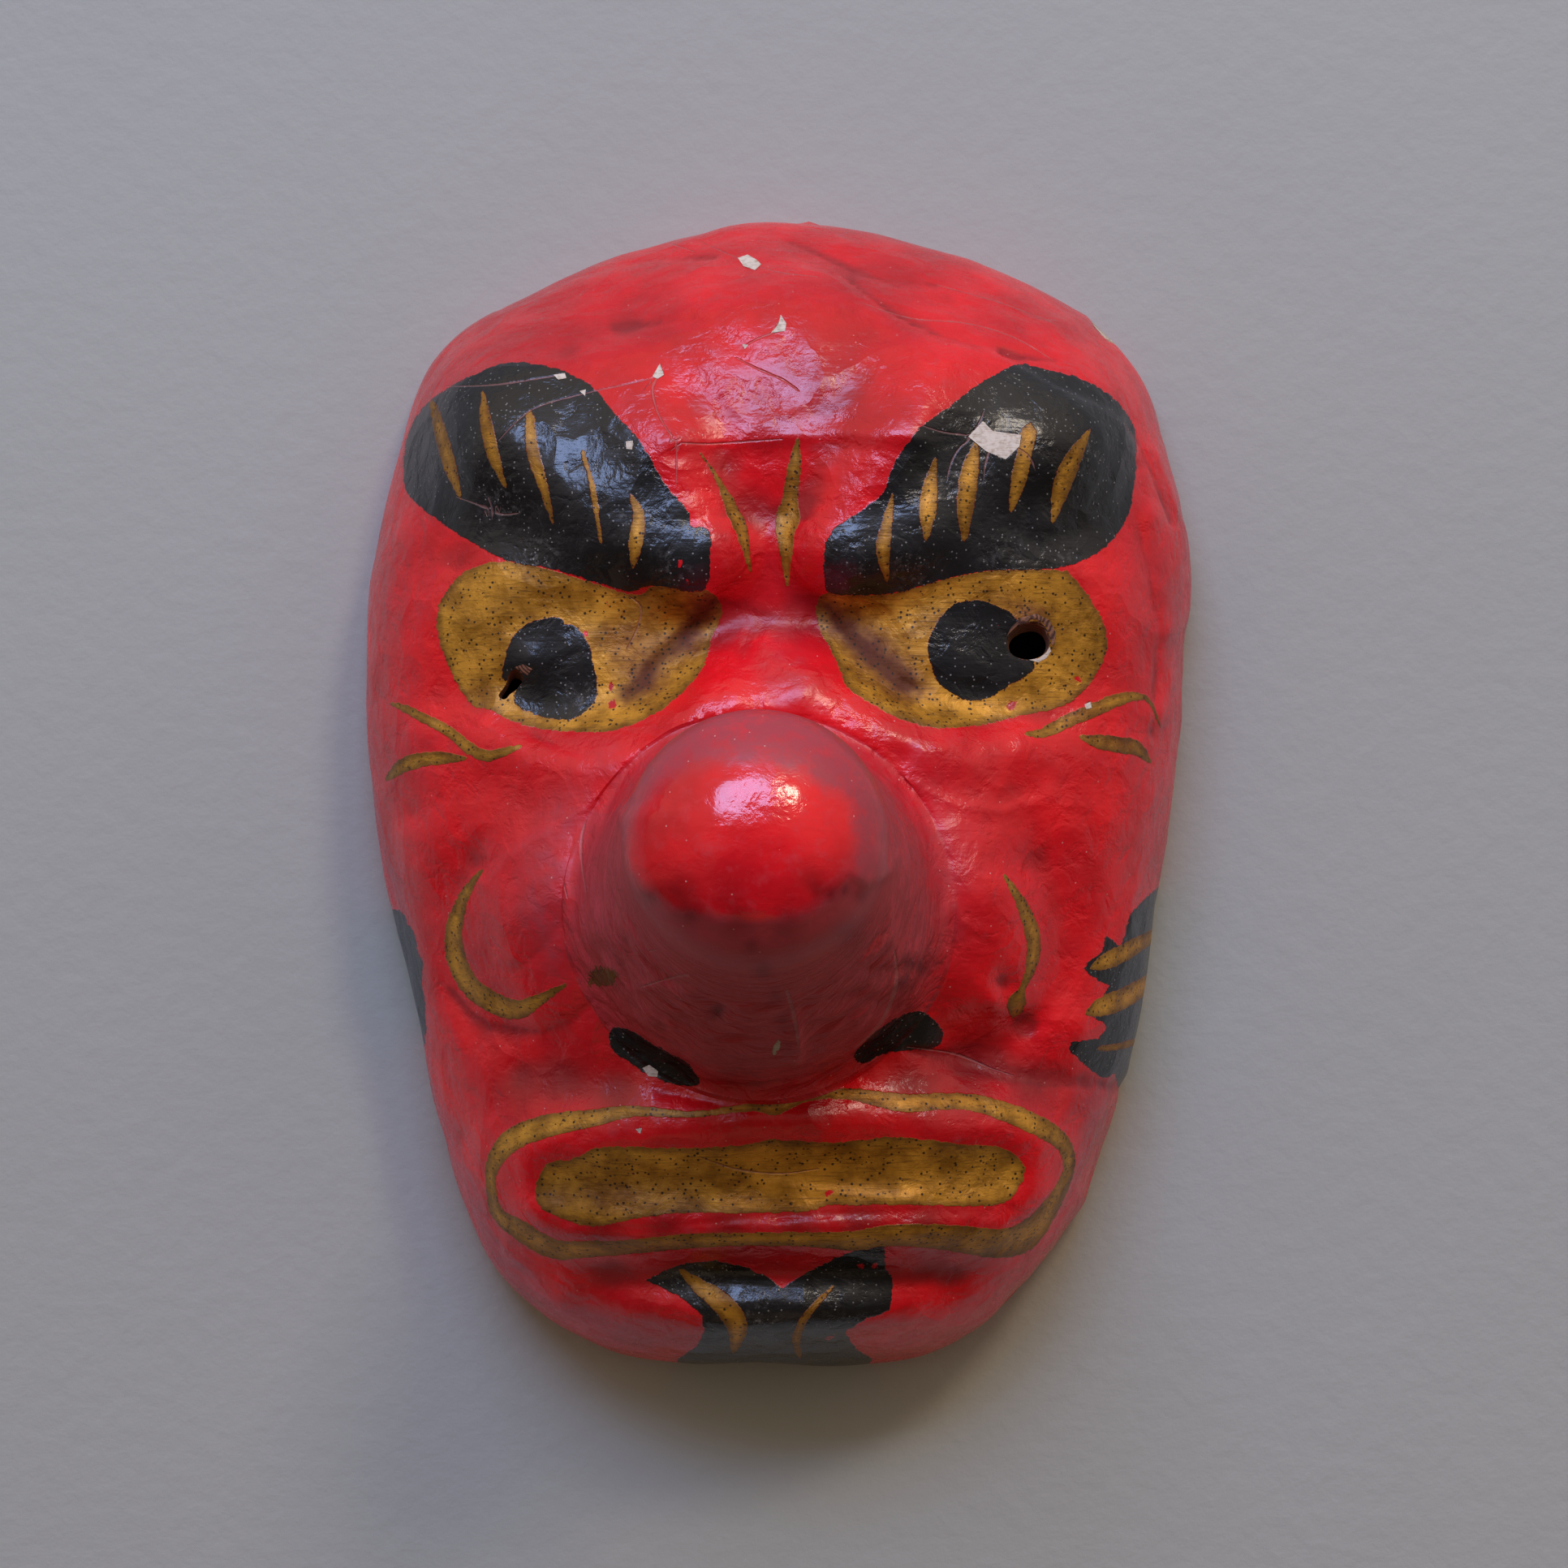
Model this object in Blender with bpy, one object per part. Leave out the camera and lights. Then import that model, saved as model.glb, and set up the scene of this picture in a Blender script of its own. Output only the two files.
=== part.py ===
"""Papier-mache tengu mask: one hollow paper shell with a long raised nose, lying face up on its rim.

The rim stands on the plane z = 0, the face looks up along +Z and the crown points along +Y.
The origin is the middle of the rim's box. Lengths are in metres.
"""

import math

import bmesh
import bpy
import numpy as np

# Sizes of the shell
MASK_HEIGHT = 0.229  # crown to chin, along Y
MASK_WIDTH = 0.164  # temple to temple, along X
SHELL_DEPTH = 0.058  # rim plane to the top of the plain dome, under the carving
WALL = 0.0026  # thickness of the pasted paper

# Sizes of the nose
NOSE_LENGTH = 0.098  # along its axis, from the face's dome to the end of the knob
NOSE_TILT = math.radians(10.4)  # how far it leans from +Z towards the crown
NOSE_ROOT_WIDTH = 0.072  # where it leaves the cheeks
NOSE_SHANK_RADIUS = 0.0295  # above the flare of the root
NOSE_NECK_RADIUS = 0.0210  # behind the knob
NOSE_KNOB_RADIUS = 0.0212
NOSE_KNOB_LENGTH = 0.020  # the rounded end, along the axis
NOSE_FLARE = 0.022  # how high the flare of the root reaches, along the axis

# Sizes of the pierced sight holes: long and short diameters, and how the long one is turned
RIGHT_HOLE = (0.0082, 0.0058, math.radians(-5))
LEFT_HOLE = (0.0060, 0.0032, math.radians(48))

# The outline from the crown by the right temple and the chin, as shares of the half width and
# the half height. The right temple bulges out a little higher than the left one.
OUTLINE = (
    (0.00, 0.990),
    (0.36, 0.942),
    (0.68, 0.852),
    (0.865, 0.730),
    (0.945, 0.560),
    (0.985, 0.370),
    (0.950, 0.020),
    (0.870, -0.390),
    (0.755, -0.675),
    (0.635, -0.830),
    (0.475, -0.943),
    (0.220, -0.995),
    (-0.240, -0.998),
    (-0.483, -0.952),
    (-0.677, -0.842),
    (-0.785, -0.670),
    (-0.875, -0.390),
    (-0.975, -0.060),
    (-1.000, 0.260),
    (-0.965, 0.440),
    (-0.855, 0.722),
    (-0.665, 0.840),
    (-0.340, 0.940),
)

# How square the dome's section is towards the crown, the temples and the chin
CROWN_FULLNESS = 3.1
TEMPLE_FULLNESS = 4.0
CHIN_FULLNESS = 4.4
DOME_EDGE = 0.50  # how steeply the dome's side meets the rim plane: smaller is steeper

# Where the carving fades into the side walls, as shares of the way to the rim
FADE_FROM = 0.78
FADE_TO = 0.99

# The nose's root, seen from the front, as shares of the half width and the half height
NOSE_CENTRE = (-0.035, -0.190)
NOSE_BRIDGE_TOP = 0.130
NOSE_BASE = -0.495

# Where the sight holes are, in the same shares
RIGHT_HOLE_AT = (0.57, 0.240)
LEFT_HOLE_AT = (-0.59, 0.175)

# Grid of the surface
OUTER_SPOKES = 108  # an even number: the nose has half as many
OUTER_RINGS = (4, 5, 5, 22)  # on the knob, the shank, the flare and the face
INNER_SPOKES = 54
INNER_RINGS = (3, 3, 4, 18)
OUTLINE_STEPS = 24  # samples to each stretch of the outline's curve
SPOKE_STEPS = 150  # samples along a spoke while its rings are spaced out
WALL_STEP_SHARE = 0.5  # how far a climb counts against a run there: the side walls need fewer rings
INNER_REACH = 0.0020  # the inner skin follows the lowest carving within this distance
HOLE_SIDES = 16

HALF_WIDTH = MASK_WIDTH / 2
HALF_HEIGHT = MASK_HEIGHT / 2
HALF_SIZE = np.array((HALF_WIDTH, HALF_HEIGHT))


def smooth_line(points, steps, closed=False):
    """Points along a smooth curve through the given ones."""
    points = np.array(points, float)
    if closed:
        padded = np.vstack((points[-1:], points, points[:2]))
    else:
        padded = np.vstack((points[:1], points, points[-1:]))
    t = (np.arange(steps) / steps)[:, None]
    found = []
    for k in range(len(padded) - 3):
        before, start, end, after = padded[k : k + 4]
        bend = 2 * before - 5 * start + 4 * end - after
        turn = 3 * start - before - 3 * end + after
        found.extend(start + 0.5 * ((end - before) * t + bend * t**2 + turn * t**3))
    if not closed:
        found.append(points[-1])
    return np.array(found)


def outline():
    """The rim seen from the front: a closed curve whose box is as wide and as high as the mask."""
    line = smooth_line([(x * HALF_WIDTH, y * HALF_HEIGHT) for x, y in OUTLINE], OUTLINE_STEPS, True)
    low, high = line.min(axis=0), line.max(axis=0)
    return (line - (low + high) / 2) * 2 * HALF_SIZE / (high - low)


def rim_points(count):
    """count points at equal distances round the rim, in plan."""
    line = outline()
    line = np.vstack((line, line[:1]))
    run = np.concatenate(([0.0], np.cumsum(np.hypot(*np.diff(line, axis=0).T))))
    wanted = np.linspace(0, run[-1], count + 1)[:-1]
    return np.column_stack([np.interp(wanted, run, line[:, k]) for k in (0, 1)])


def share_of_reach(x, y):
    """How far out a point is on its way from the middle to the rim, from 0 to 1."""
    line = outline()
    angles = np.arctan2(line[:, 1], line[:, 0])
    order = np.argsort(angles)
    reach = np.hypot(*line[order].T)
    here = np.interp(np.arctan2(y, x), angles[order], reach, period=2 * math.pi)
    return np.clip(np.hypot(x, y) / here, 0, 1)


def lump(x, y, middle, reach, rise, edge=2.0, turn=0.0):
    """A rounded lump, or a hollow where it sinks. A larger edge gives a flatter top and steeper sides."""
    across = x - middle[0] * HALF_WIDTH
    along = y - middle[1] * HALF_HEIGHT
    c, s = math.cos(turn), math.sin(turn)
    u = (across * c + along * s) / (reach[0] * HALF_WIDTH)
    v = (along * c - across * s) / (reach[1] * HALF_HEIGHT)
    return rise * SHELL_DEPTH * np.exp(-np.hypot(u, v) ** edge)


def welt(x, y, line, rise, edge=2.0):
    """A ridge along a line, or a furrow where it sinks. Each point of the line is (x, y, reach)."""
    points = smooth_line(line, 4) * (HALF_WIDTH, HALF_HEIGHT, HALF_WIDTH)
    nearest = np.full(np.shape(x), np.inf)
    for (ax, ay, start), (bx, by, end) in zip(points[:-1], points[1:]):
        dx, dy = bx - ax, by - ay
        t = np.clip(((x - ax) * dx + (y - ay) * dy) / (dx * dx + dy * dy), 0, 1)
        away = np.hypot(x - ax - t * dx, y - ay - t * dy)
        nearest = np.minimum(nearest, away / (start + (end - start) * t))
    return rise * SHELL_DEPTH * np.exp(-(nearest**edge))


def brows(x, y):
    """The thick eyebrows, which climb from the nose to the temples, and the frown between them."""
    left = [(-0.62, 0.650, 0.22), (-0.48, 0.605, 0.22), (-0.32, 0.480, 0.18), (-0.20, 0.390, 0.13)]
    right = [(0.62, 0.645, 0.22), (0.46, 0.605, 0.22), (0.30, 0.480, 0.17), (0.17, 0.395, 0.12)]
    rise = welt(x, y, left, 0.125, 3.6) + welt(x, y, right, 0.125, 3.6)
    rise = rise + lump(x, y, (0.04, 0.680), (0.40, 0.195), 0.080, 6.0)
    rise = rise + lump(x, y, (0.04, 0.780), (0.46, 0.170), 0.055, 2.4)
    rise = rise + lump(x, y, (-0.68, 0.600), (0.17, 0.150), 0.060, 2.2)
    rise = rise + lump(x, y, (0.66, 0.600), (0.17, 0.150), 0.050, 2.2)
    return rise + lump(x, y, (-0.02, 0.290), (0.18, 0.085), -0.070)


def eyes(x, y):
    """Bulging eyes in sockets under the brows, with a hollow at each inner corner."""
    rise = lump(x, y, (-0.45, 0.215), (0.34, 0.135), -0.105, 4.0, 0.10)
    rise = rise + lump(x, y, (0.41, 0.220), (0.34, 0.135), -0.105, 4.0, -0.10)
    rise = rise + lump(x, y, (-0.50, 0.255), (0.26, 0.115), 0.085, 2.6)
    rise = rise + lump(x, y, (0.45, 0.265), (0.26, 0.115), 0.085, 2.6)
    left_corner = [(-0.15, 0.295, 0.08), (-0.24, 0.244, 0.09), (-0.31, 0.185, 0.07)]
    right_corner = [(0.11, 0.295, 0.08), (0.20, 0.237, 0.09), (0.27, 0.180, 0.07)]
    rise = rise + welt(x, y, left_corner, -0.025)
    return rise + welt(x, y, right_corner, -0.025)


def lower_lids(x, y):
    """The ridges under the eyes, which run up to the bridge of the nose."""
    left = [(-0.14, 0.150, 0.09), (-0.30, 0.085, 0.09), (-0.46, 0.060, 0.08), (-0.62, 0.085, 0.07)]
    right = [(0.08, 0.165, 0.09), (0.20, 0.115, 0.09), (0.36, 0.078, 0.08), (0.54, 0.080, 0.07)]
    return welt(x, y, left, 0.055) + welt(x, y, right, 0.055)


def cheeks(x, y):
    """The broad mass that carries the nose, its wings, and the folds that part them from the cheeks."""
    rise = lump(x, y, (-0.04, -0.170), (0.47, 0.300), 0.160, 3.0)
    rise = rise + lump(x, y, (-0.51, -0.205), (0.190, 0.160), 0.090, 2.6)
    rise = rise + lump(x, y, (0.43, -0.205), (0.190, 0.160), 0.085, 2.6)
    to_left = [(-0.10, 0.140, 0.11), (-0.30, 0.050, 0.14), (-0.46, -0.060, 0.13), (-0.56, -0.170, 0.11)]
    to_right = [(0.06, 0.160, 0.11), (0.26, 0.090, 0.14), (0.40, -0.010, 0.13), (0.48, -0.140, 0.11)]
    rise = rise + welt(x, y, to_left, 0.045) + welt(x, y, to_right, 0.040)
    left = [(-0.68, -0.120, 0.07), (-0.74, -0.230, 0.08), (-0.69, -0.355, 0.09), (-0.52, -0.425, 0.09)]
    right = [(0.58, -0.120, 0.07), (0.64, -0.230, 0.08), (0.60, -0.350, 0.09), (0.43, -0.420, 0.08)]
    rise = rise + welt(x, y, left, -0.060) + welt(x, y, right, -0.060)
    jowl = [(0.45, -0.420, 0.07), (0.60, -0.448, 0.07), (0.76, -0.460, 0.06)]
    return rise + welt(x, y, jowl, -0.040)


def mouth(x, y):
    """The mouth: a long mound with two lips round a shallow slot, under the fold below the nose."""
    rise = lump(x, y, (0.01, -0.622), (0.68, 0.150), 0.110, 4.5)
    upper = [(-0.56, -0.575, 0.06), (-0.39, -0.535, 0.07), (0.01, -0.522, 0.07)]
    upper = upper + [(0.28, -0.515, 0.07), (0.50, -0.530, 0.07), (0.60, -0.570, 0.06)]
    lower = [(-0.55, -0.690, 0.06), (-0.39, -0.722, 0.07), (-0.10, -0.716, 0.07)]
    lower = lower + [(0.26, -0.712, 0.07), (0.50, -0.714, 0.07), (0.60, -0.670, 0.06)]
    slot = [(-0.48, -0.632, 0.07), (0.01, -0.618, 0.09), (0.50, -0.612, 0.07)]
    rise = rise + welt(x, y, upper, 0.035) + welt(x, y, lower, 0.050)
    return rise + welt(x, y, slot, -0.045)


def chin(x, y):
    """The round chin under the lip."""
    crease = [(-0.36, -0.780, 0.08), (0.01, -0.778, 0.09), (0.38, -0.776, 0.08)]
    rise = lump(x, y, (0.01, -0.890), (0.42, 0.090), 0.180, 2.6)
    return rise + welt(x, y, crease, -0.045)


def carving(x, y):
    """How far all the features together stand above the plain dome."""
    return brows(x, y) + eyes(x, y) + lower_lids(x, y) + cheeks(x, y) + mouth(x, y) + chin(x, y)


def face_height(x, y, reach=0.0):
    """How far the skin stands above the rim plane, with the lowest carving found within the reach."""
    share = share_of_reach(x, y)
    rise = y / np.maximum(np.hypot(x, y), 1e-9)
    upward, downward = np.clip(rise, 0, 1) ** 2, np.clip(-rise, 0, 1) ** 2
    fullness = TEMPLE_FULLNESS + (CROWN_FULLNESS - TEMPLE_FULLNESS) * upward
    fullness = fullness + (CHIN_FULLNESS - TEMPLE_FULLNESS) * downward
    plain = (1 - share**fullness) ** DOME_EDGE
    fade = 1 - np.clip((share - FADE_FROM) / (FADE_TO - FADE_FROM), 0, 1) ** 2
    carved = carving(x, y)
    if reach > 0:
        for turn in np.linspace(0, 2 * math.pi, 9)[:-1]:
            nearby = carving(x + reach * math.cos(turn), y + reach * math.sin(turn))
            carved = np.minimum(carved, nearby)
    return SHELL_DEPTH * plain + carved * fade


def root_points(rim):
    """Where each spoke meets the egg-shaped root of the nose, in plan, and the spoke's direction."""
    centre = NOSE_CENTRE * HALF_SIZE
    away = rim - centre
    away = away / np.hypot(*away.T)[:, None]
    above = NOSE_BRIDGE_TOP * HALF_HEIGHT - centre[1]
    below = centre[1] - NOSE_BASE * HALF_HEIGHT
    long_way = np.where(away[:, 1] > 0, above, below)
    reach = 1 / np.hypot(away[:, 0] / (NOSE_ROOT_WIDTH / 2), away[:, 1] / long_way)
    return centre + away * reach[:, None], away


def face_rings(rim, rings, reach=0.0):
    """Rings from the nose's root out to the rim, evenly spaced along each spoke's own slope."""
    root, _ = root_points(rim)
    fine = 1 - (1 - np.linspace(0, 1, SPOKE_STEPS)) ** 3
    plan = root + (rim - root) * fine[:, None, None]
    height = face_height(plan[..., 0], plan[..., 1]) * WALL_STEP_SHARE
    height[-1] = 0
    steps = np.diff(np.dstack((plan, height)), axis=0)
    run = np.vstack((np.zeros(len(rim)), np.cumsum(np.linalg.norm(steps, axis=2), axis=0)))
    found = np.empty((rings + 1, len(rim), 3))
    for k in range(len(rim)):
        share = np.interp(np.linspace(0, run[-1, k], rings + 1), run[:, k], fine)
        found[:, k, :2] = root[k] + (rim[k] - root[k]) * share[:, None]
    found[..., 2] = face_height(found[..., 0], found[..., 1], reach)
    found[-1, :, 2] = 0
    return found


def nose_rings(rim, knob, shank, flare, reach=0.0):
    """The knob's end point, and the rings from the knob down to just above the nose's root."""
    root, away = root_points(rim)
    axis = np.array((0.0, math.sin(NOSE_TILT), math.cos(NOSE_TILT)))
    upward = np.array((0.0, math.cos(NOSE_TILT), -math.sin(NOSE_TILT)))
    round_way = away[:, :1] * np.array((1.0, 0.0, 0.0)) + away[:, 1:] * upward
    start = np.array((*(NOSE_CENTRE * HALF_SIZE), SHELL_DEPTH))
    knob_at = NOSE_LENGTH - NOSE_KNOB_LENGTH
    rings = []
    for t in np.linspace(0, math.pi / 2, knob + 1)[1:]:
        centre = start + axis * (knob_at + NOSE_KNOB_LENGTH * math.cos(t) ** 0.85)
        rings.append(centre + round_way * NOSE_KNOB_RADIUS * math.sin(t) ** 0.92)
    for t in np.linspace(0, 1, shank + 1)[1:]:
        radius = NOSE_NECK_RADIUS + (NOSE_SHANK_RADIUS - NOSE_NECK_RADIUS) * t**1.25
        radius = radius + (NOSE_KNOB_RADIUS - NOSE_NECK_RADIUS) * max(0, 1 - t / 0.25)
        along = knob_at + (NOSE_FLARE - knob_at) * t
        rings.append(start + axis * along + round_way * radius)
    foot = np.column_stack((root, face_height(*root.T, reach)))
    nearby = root - away * WALL
    inward = np.column_stack((-away, (face_height(*nearby.T, reach) - foot[:, 2]) / WALL))
    inward = inward / np.linalg.norm(inward, axis=1)[:, None]
    shank_end = rings[-1]
    down = shank_end - rings[-2]
    down = down / np.linalg.norm(down, axis=1)[:, None]
    gap = np.linalg.norm(foot - shank_end, axis=1)[:, None]
    shank_handle = shank_end + down * gap * 0.4
    foot_handle = foot + inward * gap * 0.25
    for t in np.linspace(0, 1, flare + 1)[1:-1]:
        upper = shank_end * (1 - t) ** 3 + shank_handle * 3 * t * (1 - t) ** 2
        rings.append(upper + foot_handle * 3 * t**2 * (1 - t) + foot * t**3)
    return start + axis * NOSE_LENGTH, rings


def outer_rings():
    """The outer skin's end point, its rings on the nose, and its rings on the face."""
    rim = rim_points(OUTER_SPOKES)
    tip, nose = nose_rings(rim[::2], *OUTER_RINGS[:3])
    return tip, nose, list(face_rings(rim, OUTER_RINGS[3]))


def inner_rings():
    """The inner skin's end point and its rings: the outer form moved inwards by the wall."""
    rim = rim_points(INNER_SPOKES)
    tip, nose = nose_rings(rim, *INNER_RINGS[:3], INNER_REACH)
    rings = np.array([*nose, *face_rings(rim, INNER_RINGS[3], INNER_REACH)])
    around = np.roll(rings, -1, axis=1) - np.roll(rings, 1, axis=1)
    inwards = np.cross(np.gradient(rings, axis=0), around)
    inwards = inwards / np.linalg.norm(inwards, axis=2)[..., None]
    moved = rings + inwards * WALL
    level = inwards[-1, :, :2]
    moved[-1, :, :2] = rim + level / np.hypot(*level.T)[:, None] * WALL
    moved[-1, :, 2] = 0
    return tip - np.array((0.0, math.sin(NOSE_TILT), math.cos(NOSE_TILT))) * WALL, list(moved)


def quad_band(mesh, inside, outside):
    """Faces between two rings of as many points."""
    for k in range(len(inside)):
        n = (k + 1) % len(inside)
        mesh.faces.new((inside[k], outside[k], outside[n], inside[n]))


def fan_band(mesh, few, many):
    """Faces between a ring and one with twice as many points."""
    for k in range(len(few)):
        n = (k + 1) % len(few)
        mesh.faces.new((few[k], many[2 * k], many[2 * k + 1]))
        mesh.faces.new((few[k], many[2 * k + 1], few[n]))
        mesh.faces.new((few[n], many[2 * k + 1], many[2 * n]))


def skin(mesh, tip, rings):
    """The fan at a nose's end and the bands of faces that follow it. It returns the rings' vertices."""
    point = mesh.verts.new(tip)
    made = [[mesh.verts.new(p) for p in ring] for ring in rings]
    for a, b in zip(made[0], made[0][1:] + made[0][:1]):
        mesh.faces.new((point, a, b))
    for inside, outside in zip(made, made[1:]):
        quad_band(mesh, inside, outside)
    return made


def shell_mesh(name):
    """The closed shell: the outer skin, the inner skin and the flat rim between them."""
    mesh = bmesh.new()
    tip, nose, face = outer_rings()
    nose = skin(mesh, tip, nose)
    face = [[mesh.verts.new(p) for p in ring] for ring in face]
    fan_band(mesh, nose[-1], face[0])
    for inside, outside in zip(face, face[1:]):
        quad_band(mesh, inside, outside)
    inner = skin(mesh, *inner_rings())
    fan_band(mesh, inner[-1], face[-1])
    bmesh.ops.recalc_face_normals(mesh, faces=mesh.faces)
    data = bpy.data.meshes.new(name)
    mesh.to_mesh(data)
    mesh.free()
    return data


def red_paper():
    """Glossy red paint over pasted paper."""
    material = bpy.data.materials.new("red_painted_paper")
    material.use_nodes = True
    shader = material.node_tree.nodes["Principled BSDF"]
    shader.inputs["Base Color"].default_value = (0.52, 0.018, 0.022, 1.0)
    shader.inputs["Roughness"].default_value = 0.36
    shader.inputs["Metallic"].default_value = 0.0
    material.diffuse_color = (0.52, 0.018, 0.022, 1.0)
    return material


def hole_cutter(name, place, hole):
    """An oval rod that pierces the shell along Z. It isn't part of the mask."""
    long_way, short_way, turn = hole
    mesh = bmesh.new()
    bmesh.ops.create_cone(
        mesh, cap_ends=True, segments=HOLE_SIDES, radius1=0.5, radius2=0.5, depth=1.0
    )
    bmesh.ops.scale(mesh, vec=(long_way, short_way, SHELL_DEPTH), verts=mesh.verts)
    data = bpy.data.meshes.new(name)
    mesh.to_mesh(data)
    mesh.free()
    cutter = bpy.data.objects.new(name, data)
    bpy.context.scene.collection.objects.link(cutter)
    cutter.location = (*(place * HALF_SIZE), SHELL_DEPTH)
    cutter.rotation_euler = (0.0, 0.0, turn)
    cutter.hide_render = True
    cutter.display_type = "WIRE"
    return cutter


def mask_shell():
    """The hollow paper shell, pierced at the eyes."""
    shell = bpy.data.objects.new("mask_shell", shell_mesh("mask_shell"))
    bpy.context.scene.collection.objects.link(shell)
    shell.data.materials.append(red_paper())
    shell.data.shade_smooth()
    shell.data.set_sharp_from_angle(angle=math.radians(50))
    holes = (
        hole_cutter("right_hole_cutter", RIGHT_HOLE_AT, RIGHT_HOLE),
        hole_cutter("left_hole_cutter", LEFT_HOLE_AT, LEFT_HOLE),
    )
    for cutter in holes:
        cut = shell.modifiers.new(cutter.name, "BOOLEAN")
        cut.operation = "DIFFERENCE"
        cut.solver = "EXACT"
        cut.object = cutter
    return shell


def main():
    """Clears the scene and builds the mask."""
    for old in list(bpy.data.objects):
        bpy.data.objects.remove(old)
    mask_shell()


main()
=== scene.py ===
"""Papier-mache tengu mask: a hollow shell of pasted paper under red, black and gold paint, lying face up."""

import math

import bmesh
import bpy
import numpy as np
from bpy.props import FloatProperty, FloatVectorProperty, PointerProperty
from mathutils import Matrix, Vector, noise
from mathutils.bvhtree import BVHTree
from mathutils.geometry import delaunay_2d_cdt


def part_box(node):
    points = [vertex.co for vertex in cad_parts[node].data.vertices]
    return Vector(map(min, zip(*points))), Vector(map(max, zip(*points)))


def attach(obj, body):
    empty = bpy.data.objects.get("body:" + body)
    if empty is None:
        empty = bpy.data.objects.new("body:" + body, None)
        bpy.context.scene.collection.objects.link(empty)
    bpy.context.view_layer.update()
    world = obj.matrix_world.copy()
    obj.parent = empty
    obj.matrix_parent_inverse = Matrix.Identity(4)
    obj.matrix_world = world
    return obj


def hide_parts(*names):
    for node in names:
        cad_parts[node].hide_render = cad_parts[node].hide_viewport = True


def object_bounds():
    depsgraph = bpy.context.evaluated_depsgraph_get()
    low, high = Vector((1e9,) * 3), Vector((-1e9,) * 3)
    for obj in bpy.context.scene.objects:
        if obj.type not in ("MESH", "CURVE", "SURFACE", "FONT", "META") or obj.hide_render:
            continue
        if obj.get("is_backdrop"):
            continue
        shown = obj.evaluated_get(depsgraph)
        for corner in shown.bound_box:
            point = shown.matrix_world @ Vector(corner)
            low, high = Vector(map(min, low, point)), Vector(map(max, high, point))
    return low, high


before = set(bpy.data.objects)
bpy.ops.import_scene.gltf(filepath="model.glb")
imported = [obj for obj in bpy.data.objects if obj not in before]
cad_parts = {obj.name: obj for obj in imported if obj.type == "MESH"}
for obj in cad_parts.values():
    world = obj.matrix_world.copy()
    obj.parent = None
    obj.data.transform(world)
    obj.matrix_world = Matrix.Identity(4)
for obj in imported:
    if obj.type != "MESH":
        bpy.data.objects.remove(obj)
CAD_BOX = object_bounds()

bl_info = {
    "name": "Papier-mache Tengu Mask",
    "version": (1, 0, 0),
    "blender": (4, 5, 0),
    "location": "View3D > Sidebar > Tengu Mask",
    "description": "Shapes, paints and lights a papier-mache tengu mask",
    "category": "Add Mesh",
}

MM = 0.001
LOW, HIGH = (Vector(corner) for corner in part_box("mask_shell"))

# The camera looks straight down on the mask, as the photograph does
PHOTO_SIZE = 1932  # pixels along each side
LENS_MM = 50.0
SENSOR_MM = 24.0
CAMERA_AT = (1.56 * MM, 1.72 * MM, 660 * MM)
FOCAL_PIXELS = PHOTO_SIZE * LENS_MM / SENSOR_MM

# The shell's form, as the solids have it: shares of the half width and the half height
OUTLINE = (
    (0.00, 0.990),
    (0.36, 0.942),
    (0.68, 0.852),
    (0.865, 0.730),
    (0.945, 0.560),
    (0.985, 0.370),
    (0.950, 0.020),
    (0.870, -0.390),
    (0.755, -0.675),
    (0.635, -0.830),
    (0.475, -0.943),
    (0.220, -0.995),
    (-0.240, -0.998),
    (-0.483, -0.952),
    (-0.677, -0.842),
    (-0.785, -0.670),
    (-0.875, -0.390),
    (-0.975, -0.060),
    (-1.000, 0.260),
    (-0.965, 0.440),
    (-0.855, 0.722),
    (-0.665, 0.840),
    (-0.340, 0.940),
)
CROWN_FULLNESS = 3.1
TEMPLE_FULLNESS = 4.0
CHIN_FULLNESS = 4.4
DOME_EDGE = 0.50
FADE_FROM = 0.78
FADE_TO = 0.99
NOSE_CENTRE = (-0.035, -0.190)
NOSE_BRIDGE_TOP = 0.130
NOSE_BASE = -0.495
KNOB_BLUNT = 0.85
KNOB_ROUND = 0.92
SHANK_TAPER = 1.25
NECK_SHARE = 0.25
SHANK_PULL = 0.4
FOOT_PULL = 0.25

# Grid of the surface: rings on the knob, the shank, the flare and the face
OUTER_SPOKES = 440
OUTER_RINGS = (16, 62, 20, 116)
INNER_RINGS = (6, 12, 10, 52)
OUTLINE_STEPS = 24
SPOKE_STEPS = 260
WALL_STEP_SHARE = 0.5
FLAKE_LIFT = 0.06 * MM
FLAKE_STEP = 3.0  # pixels

# The sight holes' plugs: the height of the eyes, and how the plugs narrow and shift on the way down
EYE_HEIGHT = 52 * MM
PLUG_NARROW = 0.82
PLUG_SHIFT = 7  # pixels

# Things on the nose: the height over the rim plane where each begins, and how far on it is complete
FOLDED_BELOW = (115 * MM, -10 * MM)
CALM_ABOVE = (118 * MM, 14 * MM)
SAGGED_BELOW = (122 * MM, -6 * MM)
SAGGED_ABOVE = (56 * MM, 12 * MM)
RUBBED_ABOVE = (54 * MM, 26 * MM)
KNOB_ABOVE = (122 * MM, 10 * MM)
PAINTED_BELOW = 100 * MM
CRACKED_BELOW = 125 * MM

# Distances from painted edges, in millimetres: nowhere near one, and the last that a stroke reaches
FAR = 9.0
STROKE_REACH = 1.7

# The lights: where they stand, how far off, their sides in metres and their colour
LIGHTS = {
    "window": ((-0.12, 0.62, 0.78), 1.35, (0.76, 0.4), "A8C4FF"),
    "pane": ((0.30, 0.6, 0.71), 1.35, (0.22, 0.18), "FFEFD8"),
    "fill": ((-0.15, -0.85, 0.45), 1.6, (1.4, 0.8), "F0CBA6"),
}
SKY_BELOW = "4A3A2A"
SKY_WINDOW = "EEDCCB"

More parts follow.
